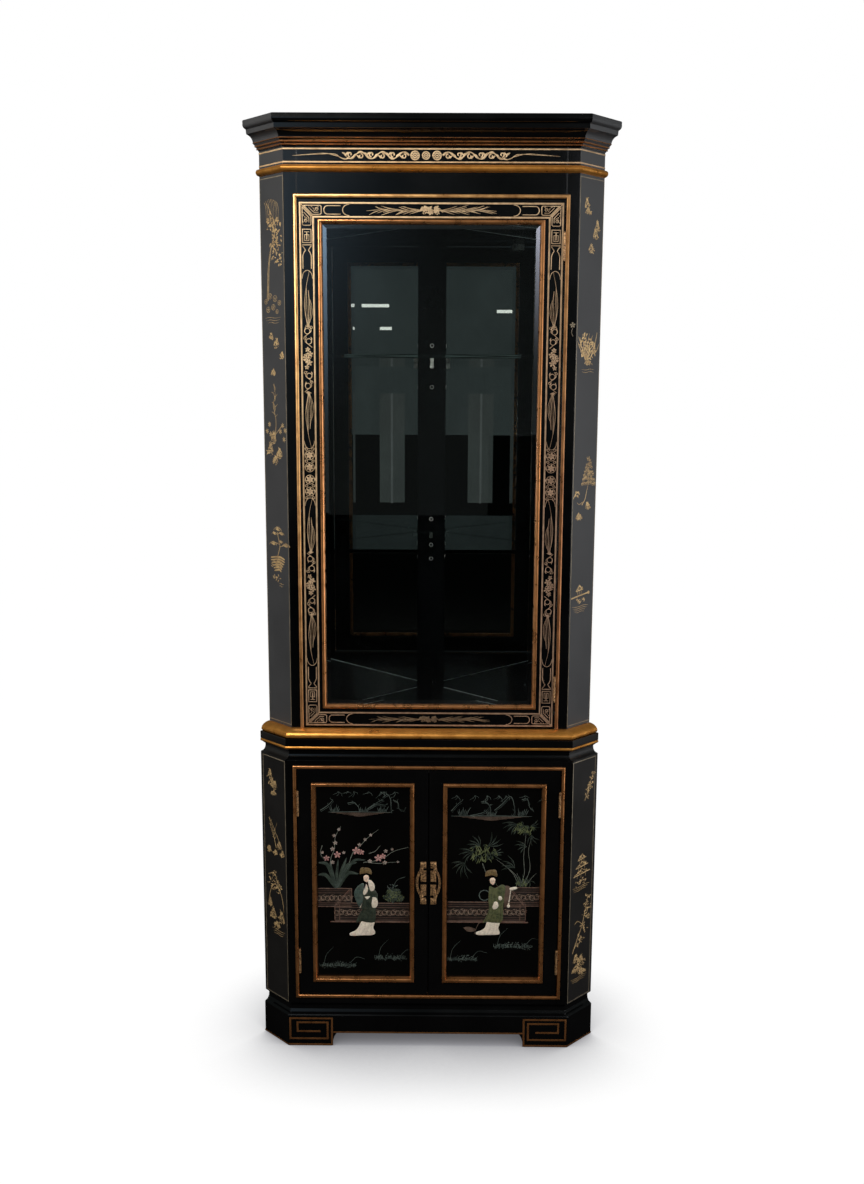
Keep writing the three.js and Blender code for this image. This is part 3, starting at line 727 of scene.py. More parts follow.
class Motif:
    """Brush marks in flat millimetres, drawn once and laid wherever they repeat."""

    def __init__(self, seed=1):
        self.marks = []
        self.chance = random.Random(seed)

    def line(self, points, width, closed=False):
        self.marks.append((points, width, closed))

    def curve(self, points, width):
        self.line(smooth(points), width)

    def fill(self, outline):
        self.marks.append((outline, None, True))

    def disc(self, centre, radius):
        self.fill(circle(centre, radius, 14))

    def ring(self, centre, radius, width=1.2):
        self.line(circle(centre, radius), width, True)

    def dab(self, start, length, degrees, width, bend=0.12):
        """One leaf-shaped touch of the brush."""
        end = polar(start, length, degrees)
        middle = polar(polar(start, length / 2, degrees), length * bend, degrees + 90)
        self.line(smooth([start, middle, end], 3), swell(width))

    def curl(self, centre, radius, start, turn, width):
        """A spiral that tightens towards its centre."""
        steps = max(6, int(abs(turn) / 24))
        points = []
        for i in range(steps + 1):
            points.append(polar(centre, radius * (1 - 0.62 * i / steps), start + turn * i / steps))
        self.line(points, width)

    def blossom(self, centre, radius, petals=5, width=None):
        for i in range(petals):
            angle = 360 * i / petals + 18
            self.dab(polar(centre, radius * 0.2, angle), radius * 0.85, angle, width or radius * 0.62, 0.06)
        self.disc(centre, radius * 0.2)

    def cloud(self, centre, spread, count, size):
        """A soft mass of short overlapping touches, thick in the middle and loose at its edge."""
        for _ in range(count):
            away = math.sqrt(self.chance.random())
            angle = self.chance.uniform(0, 2 * math.pi)
            x = centre[0] + spread[0] * away * math.cos(angle)
            z = centre[1] + spread[1] * away * math.sin(angle)
            length = size * self.chance.uniform(0.5, 1.1)
            self.dab((x, z), length, self.chance.uniform(-60, 90), length * 0.42)

    def mound(self, centre, width, height):
        """A rounded rock or bush: a lumpy mass under a brighter outline, loose at its foot."""
        x, z = centre
        rise = height * 0.34
        self.cloud((x, z + height * 0.3), (width * 0.5, rise), int(width * 1.5), 4.6)
        self.cloud((x - width * 0.05, z + height * 0.66), (width * 0.28, rise), int(width * 0.9), 4.2)
        outline = ((-0.42, 0.3), (-0.3, 0.66), (-0.04, 1), (0.22, 0.72), (0.44, 0.34))
        crown = around(centre, [(width * across, height * up) for across, up in outline])
        self.line(smooth(crown, 4), swell(1.5, 0.3))

    def fan(self, root, length, angles, width, bend=0.12):
        for degrees in angles:
            self.dab(root, length * self.chance.uniform(0.75, 1.1), degrees, width, bend)

    def water(self, start, width, count, fall=5):
        """Broken ripples, each shorter than the one above."""
        for i in range(count):
            reach = width * (1 - 0.14 * i)
            ripple = (0, 0), (reach * 0.35, -1.4), (reach * 0.7, 0.8), (reach, -0.6)
            self.curve(around((start[0] + 3 * i, start[1] - fall * i), ripple), swell(0.9, 0.3))


def same(across, up):
    return across, up


SUNK = -0.05  # how far a mark reaches below its face, in millimetres


class Paint:
    """Thin raised shapes on one flat face of the cabinet, in millimetres across and up from its origin."""

    def __init__(self, origin, across, out, proud=0.16, relief=0.0):
        self.origin = Vector(origin)
        self.across = Vector(across)
        self.out = Vector(out)
        self.proud = proud
        self.relief = relief
        self.solid = Solid()
        self.laid = 0

    def at(self, point, lift):
        return self.origin + (self.across * point[0] + UP * point[1] + self.out * lift) * MM

    def lift(self):
        """Each mark sits a hair above the last few, so that crossing strokes read as layers."""
        self.laid += 1
        return self.proud + 0.012 * (self.laid % 6)

    def line(self, points, width, closed):
        lift = self.lift()
        section = (1, SUNK), (0.66, lift), (-0.66, lift), (-1, SUNK)
        rings = []
        for i, point in enumerate(points):
            before = points[i - 1] if i or closed else point
            after = points[(i + 1) % len(points)] if closed or i + 1 < len(points) else point
            arriving, leaving = point - before, after - point
            arriving = arriving.normalized() if arriving.length else leaving.normalized()
            leaving = leaving.normalized() if leaving.length else arriving
            mean = (arriving + leaving).normalized() if (arriving + leaving).length > 0.01 else leaving
            mitre = max(0.45, mean.dot(leaving))
            half = (width(i / (len(points) - 1)) if callable(width) else width) / 2 / mitre
            aside = Vector((-mean.y, mean.x)) * half
            rings.append([self.at(point + aside * share, height) for share, height in section])
        self.solid.loft(rings, closed)

    def fill(self, outline):
        """A flat touch, or a rounded slab when the paint has relief."""
        lift = self.lift()
        area = sum(a.x * b.y - b.x * a.y for a, b in zip(outline, outline[1:] + outline[:1]))
        inward = 1 if area > 0 else -1
        steps = [(0, SUNK), (0.1, lift)]
        if self.relief:
            crown = self.relief + lift - self.proud
            steps = [(0, SUNK), (0.1, self.relief * 0.6), (0.5, self.relief * 0.88), (1.2, crown)]
        rings = []
        for inset, height in steps:
            ring = []
            for i, point in enumerate(outline):
                heading = (outline[(i + 1) % len(outline)] - outline[i - 1]).normalized()
                ring.append(self.at(point + Vector((-heading.y, heading.x)) * inward * inset, height))
            rings.append(ring)
        self.solid.loft(rings)

    def lay(self, motif, place=same):
        for points, width, closed in motif.marks:
            moved = [Vector(place(*point)) for point in points]
            if width is None:
                self.fill(moved)
            else:
                self.line(moved, width, closed)

    def finish(self, name, material, body, slot="gilt", replaced=()):
        self.solid.finish(name, material, body, slot, replaced, sharp=50)


def front_paint(node):
    """Paint on the front face of a node; across runs from the cabinet's centre line, up from the floor."""
    return Paint((0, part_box(node)[0].y, 0), (1, 0, 0), (0, -1, 0))


def return_paint(hand, front, side):
    """Paint on a 45 degree return, across from its front corner. hand is 1 on the right, -1 on the left."""
    x, y = front_corner(front, side)
    return Paint((hand * x, y, 0), (hand / ROOT2, 1 / ROOT2, 0), (hand / ROOT2, -1 / ROOT2, 0))


def border(left, right, low, high, width):
    """One line round a rectangle."""
    motif = Motif()
    motif.line([(left, low), (right, low), (right, high), (left, high)], width, True)
    return motif


# ---- Display door: gold border ----
DOOR_MIDDLE = 1254.0
LINE_OUTER, LINE_INNER = (259.0, 530.5), (233.0, 504.0)
STILE_MIDDLE = (LINE_OUTER[0] + LINE_INNER[0]) / 2
RAIL_MIDDLE = (LINE_OUTER[1] + LINE_INNER[1]) / 2
CORNER_SHIFT = LINE_INNER[1] - LINE_INNER[0]


def leaf_bundle(motif, root, reach):
    """Long leaves hanging from a calyx towards root + reach, with one stem that runs on."""
    sign = 1 if reach > 0 else -1
    for lean, length, belly in ((-4.2, 0.5, -8.2), (-1.5, 0.66, -5.2), (2.4, 0.74, 3.8)):
        outer = (0, 0), (belly, 0.22), (belly * 0.9, 0.4), (lean, length)
        inner = (0, 0), (belly * 0.3, 0.25), (belly * 0.4, 0.42), (lean, length)
        for leaf, width in ((outer, 0.9), (inner, 0.6)):
            motif.curve([(across, root + reach * share) for across, share in leaf], width)
    stem = (0.5, 0), (6.4, 0.38), (2, 0.75), (-4, 1)
    motif.curve([(across, root + reach * share) for across, share in stem], tail(1.2, 0.5))
    for degrees in (-150, -118, -90, -62, -30):
        motif.dab((0, root - sign * 1), 6.5, degrees if sign < 0 else -degrees, 2.0)


def arch(motif, tip, foot):
    """A thin rounded end to a cartouche, its tip pointing away from its feet."""
    rise = tip - foot
    motif.line(arc((0, foot), (10.4, rise), 0, 180, 14), 1.2)


def corner_cell(motif):
    """The three-sided panel beside a mitre, with a scroll and dabs in it."""
    cell = [(219, -8.6), (234.3, -8.6), (251.5, 8.6), (219, 8.6), (217, 6.4), (217, -6.4)]
    motif.line(cell, 1.7, True)
    motif.line([(222.5, -4.6), (231.5, -4.6), (241.5, 4.8)], 1.3)
    motif.curl((226, 1.5), 3.6, 0, 500, 1.2)
    for place in ((231.5, 2.0), (235.2, 5.2), (229.5, -1.8), (222.3, 5.6), (240.5, 6.4)):
        motif.dab(place, 3.4, 35, 1.7)


def stile_motif():
    """Half of a door stile: (across the band, distance from the middle of the door)."""
    motif = Motif(3)
    for middle in (12.5, 37):
        motif.ring((0, middle), 9.2, 1.2)
        motif.blossom((0, middle), 7.4, 6)
        for hand in (-1, 1):
            motif.curl((hand * 7, middle + 12), 3.4, 90 - hand * 90, hand * 420, 1.1)
            motif.dab((hand * 9, middle - 4), 7, 90 - hand * 16, 1.6)
    arch(motif, 50, 66)
    leaf_bundle(motif, 164, -112)
    for middle, hand in ((176, 1), (196, -1), (264, -1), (284, 1)):
        motif.ring((hand * 1.5, middle), 5.4, 1.5)
        ribbon = (8, -12), (2, -7), (-6, 0), (-3, 9)
        motif.curve([(hand * across, middle + up) for across, up in ribbon], 1.3)
        motif.curl((-hand * 6.5, middle + 7), 3.2, 0, hand * 400, 1.1)
        motif.dab((hand * 7.5, middle + 2), 7, 90 + hand * 20, 1.9)
    for x, z, size in ((-2, 222, 6.4), (4, 231, 6.8), (-3.5, 239, 6.2), (3, 213, 4.6), (1, 248, 4.8)):
        motif.blossom((x, z), size, 5)
    motif.cloud((0, 230), (7, 16), 16, 5)
    leaf_bundle(motif, 292, 108)
    arch(motif, 402, 386)
    for hand in (-1, 1):
        motif.line([(hand * 8.4, 405), (hand * 8.4, 430)], 1.9)
        motif.curve([(hand * 8.4, 430), (hand * 5.6, 437), (hand * 3.4, 441), (hand * 9, 449)], 1.7)
    motif.line([(-9.4, 450.6), (9.4, 450.6)], 1.8)
    motif.line([(-8.4, 455), (8.4, 455), (8.4, 480.5), (-8.4, 480.5)], 1.7, True)
    motif.line([(-4.2, 459), (4.2, 459), (4.2, 470), (-4.2, 470)], 1.3, True)
    motif.line([(0, 461), (0, 475)], 2.2)
    motif.line([(-4.8, 475.6), (4.8, 475.6)], 1.4)
    return motif


def rail_motif():
    """Half of a door rail: (distance from the middle of the door, across the band)."""
    motif = Motif(5)
    motif.line(arc((162, 0), (13, 10.6), 90, -90, 14), 1.6)
    motif.line([(179, 8), (205, 8), *arc((205, 0), (7, 8), 80, -80, 8), (205, -8), (179, -8)], 1.8)
    corner_cell(motif)
    return motif


def spray_motif():
    """Two sheaves of long grass that meet in a cluster of flowers at the middle of a rail."""
    motif = Motif(11)
    for hand in (-1, 1):
        motif.curve([(0, 0), (hand * 50, -1.5), (hand * 100, 0.5), (hand * 128, -1.5)], tail(2.0, 0.3))
        for i in range(15):
            root = 12 + 6.2 * i
            side = 1 if i % 2 else -1
            reach = motif.chance.uniform(22, 44) * (1 - 0.016 * i)
            spread = side * motif.chance.uniform(4.5, 10)
            middle = (hand * (root + reach * 0.5), spread * 0.38)
            motif.curve([(hand * root, 0), middle, (hand * (root + reach), spread)], swell(1.5, 0.2))
    motif.cloud((0, 0), (24, 8), 46, 6.5)
    for x in (-14, -2, 10):
        motif.blossom((x, motif.chance.uniform(-3, 3)), 6.5, 6)
    return motif


def paint_door():
    lines, ornament = front_paint("upper_door_frame"), front_paint("upper_door_frame")
    for half, height in (LINE_OUTER, LINE_INNER):
        lines.lay(border(-half, half, DOOR_MIDDLE - height, DOOR_MIDDLE + height, 3.5))
    mitre = Motif()
    mitre.line([LINE_INNER, LINE_OUTER], 1.8)
    cell = Motif()
    corner_cell(cell)
    stile, rail, spray = stile_motif(), rail_motif(), spray_motif()
    for hand in (-1, 1):
        for updown in (-1, 1):

            def quarter(x, z):
                return hand * x, DOOR_MIDDLE + updown * z

            lines.lay(mitre, quarter)
            ornament.lay(stile, lambda u, v: quarter(STILE_MIDDLE + u, v))
            ornament.lay(cell, lambda s, u: quarter(STILE_MIDDLE + u, s + CORNER_SHIFT))
            ornament.lay(rail, lambda s, u: quarter(s, RAIL_MIDDLE + u))
    ornament.lay(spray, lambda s, u: (s, DOOR_MIDDLE + RAIL_MIDDLE + u))
    lines.finish("door_border_lines", GOLD_LINE, "upper_door")
    ornament.finish("door_border_ornament", GOLD_FINE, "upper_door")
    dim = front_paint("upper_door_frame")
    dim.lay(spray, lambda s, u: (s, DOOR_MIDDLE - RAIL_MIDDLE + u * 0.8))
    dim.finish("door_lower_spray", GOLD_DIM, "upper_door")
    sprig = Motif(8)
    sprig.blossom((283, 1552), 5.5, 5)
    sprig.curve([(283, 1546), (281, 1538), (284, 1530)], 1.1)
    margin = front_paint("upper_stile_right")
    margin.lay(sprig)
    margin.finish("stile_sprig", GOLD_FADED, "case")


# ---- Frieze ----
FRIEZE_MIDDLE = (-11.0, 1874.0)
FRIEZE_LINES = (1886.3, 1861.6)


def frieze_motif():
    """A running scroll with leaves, then a spear blade; drawn for the right of the centre."""
    motif = Motif(9)
    wave = [(33 + 4.5 * i, 6.2 * math.sin(math.radians(38.5 * i))) for i in range(28)]
    motif.line(smooth(wave, 3), lambda way: 3.3 + 1.2 * math.sin(50 * way))
    for i in range(6):
        x, up = 43.5 + 21 * i, 1 if i % 2 else -1
        motif.curl((x, 1.6 * up), 4.8, -90 * up, 330, 2.6)
        motif.dab((x + 7, -3 * up), 12, 44 * up, 4.0)
        motif.dab((x + 3, 6 * up), 8, -50 * up, 3.4)
    motif.curve([(150, -5), (158, -7.2), (168, -4), (180, 2.4), (214, 1.6), (262, -1)], tail(2.6, 0.2))
    motif.curve([(172, -2), (196, 3.4), (226, 2.0), (262, -1)], tail(1.5, 0.3))
    return motif


def rosette(motif, centre, radius):
    motif.ring(centre, radius * 0.86, radius * 0.26)
    motif.ring(centre, radius * 0.44, radius * 0.2)
    motif.disc(centre, radius * 0.2)
    for i in range(10):
        motif.dab(polar(centre, radius * 0.3, 36 * i), radius * 0.5, 36 * i, radius * 0.2, 0)


def paint_frieze():
    paint_front = front_paint("frieze_rail")
    scrolls, rosettes = frieze_motif(), Motif()
    for x, radius in ((-21.5, 9.4), (0, 8.2), (21.5, 9.4)):
        rosette(rosettes, (x, 0), radius)
    x, z = FRIEZE_MIDDLE
    paint_front.lay(rosettes, lambda u, v: (x + u, z + v))
    for hand in (-1, 1):
        paint_front.lay(scrolls, lambda u, v: (x + hand * u, z + v))
    paint_front.finish("frieze_ornament", GOLD_FINE, "case")
    lines = Solid()
    for level in FRIEZE_LINES:
        lines.along_case(around((0, level), ((-0.1, -1.5), (0.18, -1.2), (0.18, 1.2), (-0.1, 1.5))))
    lines.finish("frieze_lines", GOLD_LINE, "case", "gilt")


# ---- Returns ----
RETURN_WIDTH = ROOT2 * (WALL - HALF) / 2 / MM


def willow(motif):
    trunk = (54, 1600), (50, 1660), (42, 1700), (27, 1738), (40, 1768), (56, 1790)
    motif.curve(trunk, tail(1.8, 0.6))
    motif.curve([(58, 1600), (54, 1656), (46, 1694), (34, 1722)], tail(1.5, 0.5))
    for place, spread, count, size in (
        ((40, 1750), (14, 18), 26, 8),
        ((22, 1741), (14, 26), 30, 8),
        ((25, 1716), (19, 22), 34, 8),
        ((21, 1692), (18, 20), 26, 7),
        ((14, 1672), (8, 10), 10, 7),
    ):
        motif.cloud(place, spread, count, size)
    for i in range(9):
        root = (62 - 5 * i, 1786 + 10 * math.sin(0.5 + 0.3 * i))
        drop = motif.chance.uniform(34, 62)
        motif.curve(around(root, ((0, 0), (-5, -drop * 0.3), (-6, -drop))), tail(0.9, 0.4))
    flowers = [(62, 1598, 7), (48, 1608, 8), (32, 1603, 9), (18, 1594, 7)]
    flowers += [(55, 1582, 8), (38, 1586, 8), (26, 1577, 6)]
    for x, z, radius in flowers:
        motif.ring((x, z), radius * 0.7, 0.8)
        motif.blossom((x, z), radius * 0.6, 5, 1.1)
    motif.water((14, 1566), 52, 3)


def peaks(motif, places):
    for x, z, width, height in places:
        motif.mound((x, z), width, height)
        motif.fan((x, z + height * 0.8), height * 0.45, (62, 90, 118), 1.8)


def leaning_tree(motif, foot, top, crown):
    """A thin trunk with a tall crown of filigree leaves, widest at its foot."""
    x, z = foot
    motif.curve([foot, (x + 10, z + 12), (top[0] - 6, z + 26), top], tail(2.6, 0.4))
    motif.curve(around(foot, ((2, 6), (-9, 2), (-16, 6))), 1.2)
    width, height = crown
    for tier in range(7):
        level = top[1] + height * tier / 7
        reach = width * (1 - tier / 8.5) / 2
        for i in range(8 - tier):
            across = top[0] - reach + 2 * reach * (i + 0.5) / (8 - tier)
            place = (across, level + motif.chance.uniform(-3, 3))
            motif.ring(place, 2.6, 0.8)
            motif.fan(place, 5.6, (40, 90, 140), 1.1)
    motif.line([top, (top[0] + 1, top[1] + height)], 0.9)


def pine(motif, foot):
    """A bent pine with flat pads of needles, on a stack of six slabs of rock."""
    x, z = foot
    motif.curve(around(foot, ((0, 0), (-5, 12), (-9, 26), (-4, 42), (-1, 53))), tail(2.4, 0.5))
    motif.curve(around(foot, ((-8, 22), (-20, 26), (-30, 24))), 1.3)
    motif.curve(around(foot, ((-8, 28), (6, 30), (14, 26))), 1.3)
    pads = (-2, 56, 13), (-14, 48, 10), (9, 47, 9), (14, 25, 12), (-30, 24, 12), (-12, 31, 8)
    for across, up, reach in pads:
        middle = (x + across, z + up)
        motif.line(arc(middle, (reach, reach * 0.55), 0, 180, 8), 0.9)
        motif.fan(middle, reach * 0.8, range(20, 161, 20), 1.5)
    for i in range(6):
        reach = 18 + 7 * math.sin(1.4 + i * 0.55)
        slab = (-reach, -2), (-6, 2.2), (reach * 0.9, -1)
        motif.curve(around((x, z - 1 - 5.4 * i), slab), swell(4.6, 0.5))
    motif.cloud((x, z - 18), (22, 11), 26, 7)


def forked_branch(motif, foot):
    for route, width in (
        (((0, 0), (8, 24), (18, 44), (22, 66)), 1.8),
        (((8, 24), (2, 44), (-4, 58)), 1.3),
        (((-14, 12), (6, 42), (22, 62)), 1.2),
    ):
        motif.curve(around(foot, route), tail(width, 0.4))
    for step in range(5):
        place = (foot[0] + 4 + 4 * step, foot[1] + 20 + 9 * step)
        motif.dab(place, 9, 20 + 34 * (step % 3), 1.2)
        motif.dab(place, 9, 110 + 26 * (step % 3), 1.2)


def arched_tree(motif):
    trunk = (66, 306), (62, 330), (54, 350), (40, 362), (22, 346), (14, 322), (12, 306)
    motif.curve(trunk, swell(2.0, 0.5))
    motif.curve([(40, 362), (36, 376), (41, 386)], 1.4)
    for place in ((41, 386), (54, 376), (34, 368), (56, 360), (24, 358), (44, 352), (30, 350)):
        motif.cloud(place, (11, 8), 12, 5.5)
    peaks(motif, ((60, 306, 18, 18), (50, 278, 26, 24), (20, 276, 24, 26), (36, 262, 24, 14)))
    motif.water((10, 258), 44, 3)


def pagoda(motif, x, z, tiers, width):
    for tier in range(tiers):
        level = z + 17 * (tiers - 1 - tier)
        reach = width * (0.5 + 0.25 * tier)
        for eave in (-reach, reach):
            motif.curve(around((x, level), ((eave, 0), (eave * 0.5, 4), (0, 11))), 1.6)
        motif.line([(x - reach * 1.1, level - 2), (x + reach * 1.1, level + 1)], 2.2)
        motif.cloud((x, level + 4), (reach * 0.7, 4), 16, 4.5)
        for post in (-0.6, -0.1, 0.5):
            motif.line([(x + reach * post, level - 2), (x + reach * post, level - 9)], 0.9)


def left_upper_motif():
    motif = Motif(21)
    willow(motif)
    peaks(motif, ((47, 1521, 15, 13), (29, 1506, 17, 16), (12, 1484, 15, 11), (42, 1450, 18, 12)))
    motif.curve([(40, 1318), (36, 1360), (44, 1392), (37, 1410), (40, 1434)], tail(1.5, 0.4))
    for step in range(6):
        motif.dab((40, 1372 + 10 * step), 12, 28 + 50 * (step % 2), 1.1)
        motif.dab((40, 1368 + 10 * step), 12, 150 - 40 * (step % 2), 1.1)
    for place in ((14, 1350), (6, 1340), (22, 1338), (10, 1322), (58, 1352), (66, 1338), (54, 1332)):
        motif.blossom(place, 5.4, 6, 2)
    motif.curve([(40, 1330), (28, 1340), (14, 1352)], 1.1)
    peaks(motif, ((44, 1312, 18, 22), (56, 1288, 22, 24), (26, 1284, 22, 18), (40, 1272, 20, 14)))
    pine(motif, (39, 1077))
    motif.cloud((40, 1034), (14, 6), 14, 6)
    motif.water((18, 1022), 16, 2)
    return motif


def right_upper_motif():
    motif = Motif(22)
    peaks(motif, ((23, 1776, 16, 20), (27, 1768, 20, 10)))
    peaks(motif, ((58, 1738, 14, 18), (52, 1722, 16, 18), (40, 1694, 18, 16)))
    motif.cloud((34, 1508), (27, 25), 96, 9)
    motif.fan((36, 1484), 52, range(48, 133, 12), 2.2, 0.06)
    for start, end in (((44, 1486), (66, 1540)), ((50, 1496), (74, 1518)), ((30, 1484), (6, 1530))):
        middle = ((start[0] + end[0]) / 2 + 3, (start[1] + end[1]) / 2 - 4)
        motif.curve([start, middle, end], tail(2.6, 0.4))
    peaks(motif, ((38, 1474, 24, 12),))
    motif.water((16, 1466), 44, 2)
    leaning_tree(motif, (31, 1190), (51, 1234), (46, 56))
    motif.cloud((12, 1214), (10, 7), 14, 6)
    motif.curve([(2, 1204), (8, 1212), (16, 1218), (22, 1212)], 2.2)
    peaks(motif, ((50, 1180, 18, 14), (22, 1160, 24, 12)))
    pagoda(motif, 31, 1012, 1, 22)
    motif.curve([(4, 996), (30, 1000), (60, 1004)], 3.2)
    motif.disc((61, 1004), 3.6)
    motif.cloud((33, 989), (16, 7), 18, 6)
    motif.water((6, 978), 56, 4, 4)
    return motif


def left_lower_motif():
    motif = Motif(23)
    peaks(motif, ((53, 600, 16, 18), (46, 584, 20, 16), (36, 578, 16, 16), (40, 564, 18, 10)))
    forked_branch(motif, (35, 446))
    peaks(motif, ((24, 446, 20, 15), (13, 430, 16, 14), (60, 431, 18, 13), (38, 430, 16, 10)))
    arched_tree(motif)
    return motif


def right_lower_motif():
    motif = Motif(24)
    motif.curve([(43, 556), (54, 578), (62, 596), (70, 612)], 1.4)
    for place in ((48, 564), (54, 578), (58, 588), (64, 600), (70, 608), (66, 586), (50, 584)):
        motif.cloud(place, (7, 6), 8, 5.5)
    pagoda(motif, 39, 392, 3, 26)
    motif.cloud((34, 372), (20, 8), 22, 6)
    motif.water((8, 364), 58, 3, 4)
    motif.curve([(14, 214), (28, 240), (44, 268), (54, 300), (64, 336)], tail(2.4, 0.4))
    leaves = [(62, 330), (56, 316), (66, 306), (52, 298), (60, 284)]
    leaves += [(46, 268), (54, 256), (34, 244), (42, 236), (24, 228)]
    for place in leaves:
        motif.cloud(place, (10, 7), 10, 6)
    motif.curve([(46, 272), (30, 284), (18, 280)], 1.2)
    peaks(motif, ((26, 188, 20, 18), (44, 176, 28, 22), (28, 164, 34, 16), (48, 156, 26, 12)))
    motif.water((10, 152), 56, 3, 4)
    return motif


def paint_returns():
    """A scene and a fine line just inside the edges, on each return of the display case and cupboard."""
    nosing_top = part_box("waist_nosing")[1].z / MM
    bead_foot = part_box("frieze_bead")[0].z / MM
    waist_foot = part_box("waist_moulding")[0].z / MM
    near, far = 1.2, RETURN_WIDTH - 1.2
    upper_border = border(near, far, nosing_top + 6, bead_foot - 6, 1.9)
    lower_border = border(near, far, PLINTH_TOP + 3.5, waist_foot - 4, 1.9)
    scenes = (left_upper_motif, left_lower_motif), (right_upper_motif, right_lower_motif)
    for (hand, name), (upper_scene, lower_scene) in zip(SIDES, scenes):
        for part, face, motif, finish in (
            ("upper_scene", DISPLAY, upper_scene(), GOLD_TREE),
            ("lower_scene", CUPBOARD, lower_scene(), GOLD_TREE),
            ("upper_border", DISPLAY, upper_border, GOLD_FADED),
            ("lower_border", CUPBOARD, lower_border, GOLD_FADED),
        ):
            side = return_paint(hand, *face)
            side.lay(motif)
            side.finish(f"{name}_{part}", finish, "case")


# ---- Plinth ----
def paint_plinth():
    fret = Motif()
    spiral = [(4, 17), (86, 17), (86, 55), (20, 55), (20, 34), (70, 34)]
    fret.line([(0.5, 3), (95.5, 3), (95.5, 64.5), (4, 64.5), *spiral], 4.5)
    x = front_corner(*PLINTH)[0] / MM
    paint = front_paint("plinth")
    for hand in (-1, 1):
        paint.lay(fret, lambda across, up: (hand * (x - across), up))
    apron = Motif()
    apron.line([(-(x - 98), 32), (x - 98, 32)], 3.6)
    paint.lay(apron)
    paint.finish("plinth_fret", DARK_GILT, "case")
    for hand, name in SIDES:
        edge = Motif()
        edge.line([(0, 2.4), (RETURN_WIDTH + 9, 2.4)], 3.4)
        side = return_paint(hand, *PLINTH)
        side.lay(edge)
        side.finish(f"{name}_plinth_edge", DARK_GILT, "case")


# ---- Cupboard doors: pulls ----
def make_pulls():
    """Fretted plates that meet at the middle: key blocks held together by a crescent."""
    plate = Motif()
    for end in (-1, 1):
        plate.fill([(1, 34 * end), (13.8, 34 * end), (13.4, 47.8 * end), (1, 47.8 * end)])
        plate.fill([(1, 3.8 * end), (13, 3.8 * end), (13, 28 * end), (1, 28 * end)])
        plate.fill([(7, 27 * end), (16, 27 * end), (14, 35 * end), (8, 35 * end)])
    plate.line(arc((7.2, 0), (13.6, 29), -76, 76, 16), 5.6)
    for hand, name in SIDES:
        node = f"{name}_door_pull"
        low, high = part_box(node)
        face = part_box(f"{name}_door_frame")[0].y
        inner = high.x if hand < 0 else low.x
        thick = (face - low.y) / MM - 0.2
        paint = Paint((inner, face, (low.z + high.z) / 2), (hand, 0, 0), (0, -1, 0), thick, thick)
        paint.lay(plate)
        paint.finish(f"{name}_fretted_pull", BRASS, f"{name}_door", "brass", [node])


# ---- Cupboard doors: inlaid garden scenes ----
class Scene:
    """One panel picture: a motif for each finish, laid from the back of the picture to the front."""

    def __init__(self, seed):
        self.seed = seed
        self.layers = {}

    def layer(self, name):
        if name not in self.layers:
            self.layers[name] = Motif(self.seed + len(self.layers))
        return self.layers[name]

    def shape(self, name, points):
        self.layer(name).fill(loop(points))

    def curves(self, name, width, routes):
        for route in routes:
            self.layer(name).curve(route, width)

    def folds(self, name, width, top, middle, foot, places):
        """Lines down cloth: each falls from (place, top) by way of (place - bow, level) to its own foot."""
        bow, level = middle
        self.curves(name, width, [[(x, top), (x - bow, level), (end, foot)] for x, end in places])


def far_shore(scene, level, left, right, tufts, boughs):
    """A bank high on the panel: tufts of reed, thin arching boughs, and twigs that hang in from above."""
    grey, bank = scene.layer("mist"), scene.layer("bark")
    chance = grey.chance
    width = right - left
    for rise in range(5):
        inset = (0.04 + 0.09 * rise) * width
        depth = level - 1.8 * rise
        line = [(left + inset, depth), (left + width * 0.5, depth - 0.8), (right - inset, depth + 0.4)]
        bank.curve(line, swell(1.2, 0.3))
    grey.curve([(left, level + 1), (left + width / 2, level + 1.8), (right, level + 1)], swell(1.5, 0.4))
    for x, height in tufts:
        for blade in range(7):
            foot = (x + 2.2 * (blade - 3), level + 1)
            grey.dab(foot, height * chance.uniform(0.4, 1), 90 + 8 * (3 - blade), 1.3, 0.05)
    for bough in boughs:
        route = around((0, level), bough)
        grey.curve(route, tail(1.5, 0.4))
        grey.curve(around((1.6, -3), route), tail(0.7, 0.4))
        for x, z in route[1:]:
            grey.dab((x, z), chance.uniform(5, 9), chance.uniform(20, 160), 0.8, 0.16)
    for i in range(7):
        root = (left + (width + 24) * (i + chance.random()) / 7, level + 47)
        for reach in (-11, -3, 8):
            tip = (root[0] + reach, root[1] - chance.uniform(4, 15))
            grey.curve([root, ((root[0] + tip[0]) / 2 + 3, (root[1] + tip[1]) / 2), tip], tail(1.0, 0.4))


def grasses(scene, left, right, level):
    low = scene.layer("mist")
    chance = low.chance
    for i in range(int((right - left) / 1.7)):
        x = left + 1.7 * i
        crown = 7 * math.sin(math.pi * (x - left) / (right - left))
        low.cloud((x, level + chance.uniform(-5, crown)), (4, 4), 2, 3.6)
        low.dab((x, level - 4), chance.uniform(5, 11), chance.uniform(60, 120), 1.0)
    low.curve([(left + 6, level + 2), (left + 12, level + 24), (left + 28, level + 42)], tail(1.0, 0.3))
    low.curve([(right - 12, level + 4), (right + 2, level + 18), (right + 20, level + 14)], tail(0.9, 0.3))


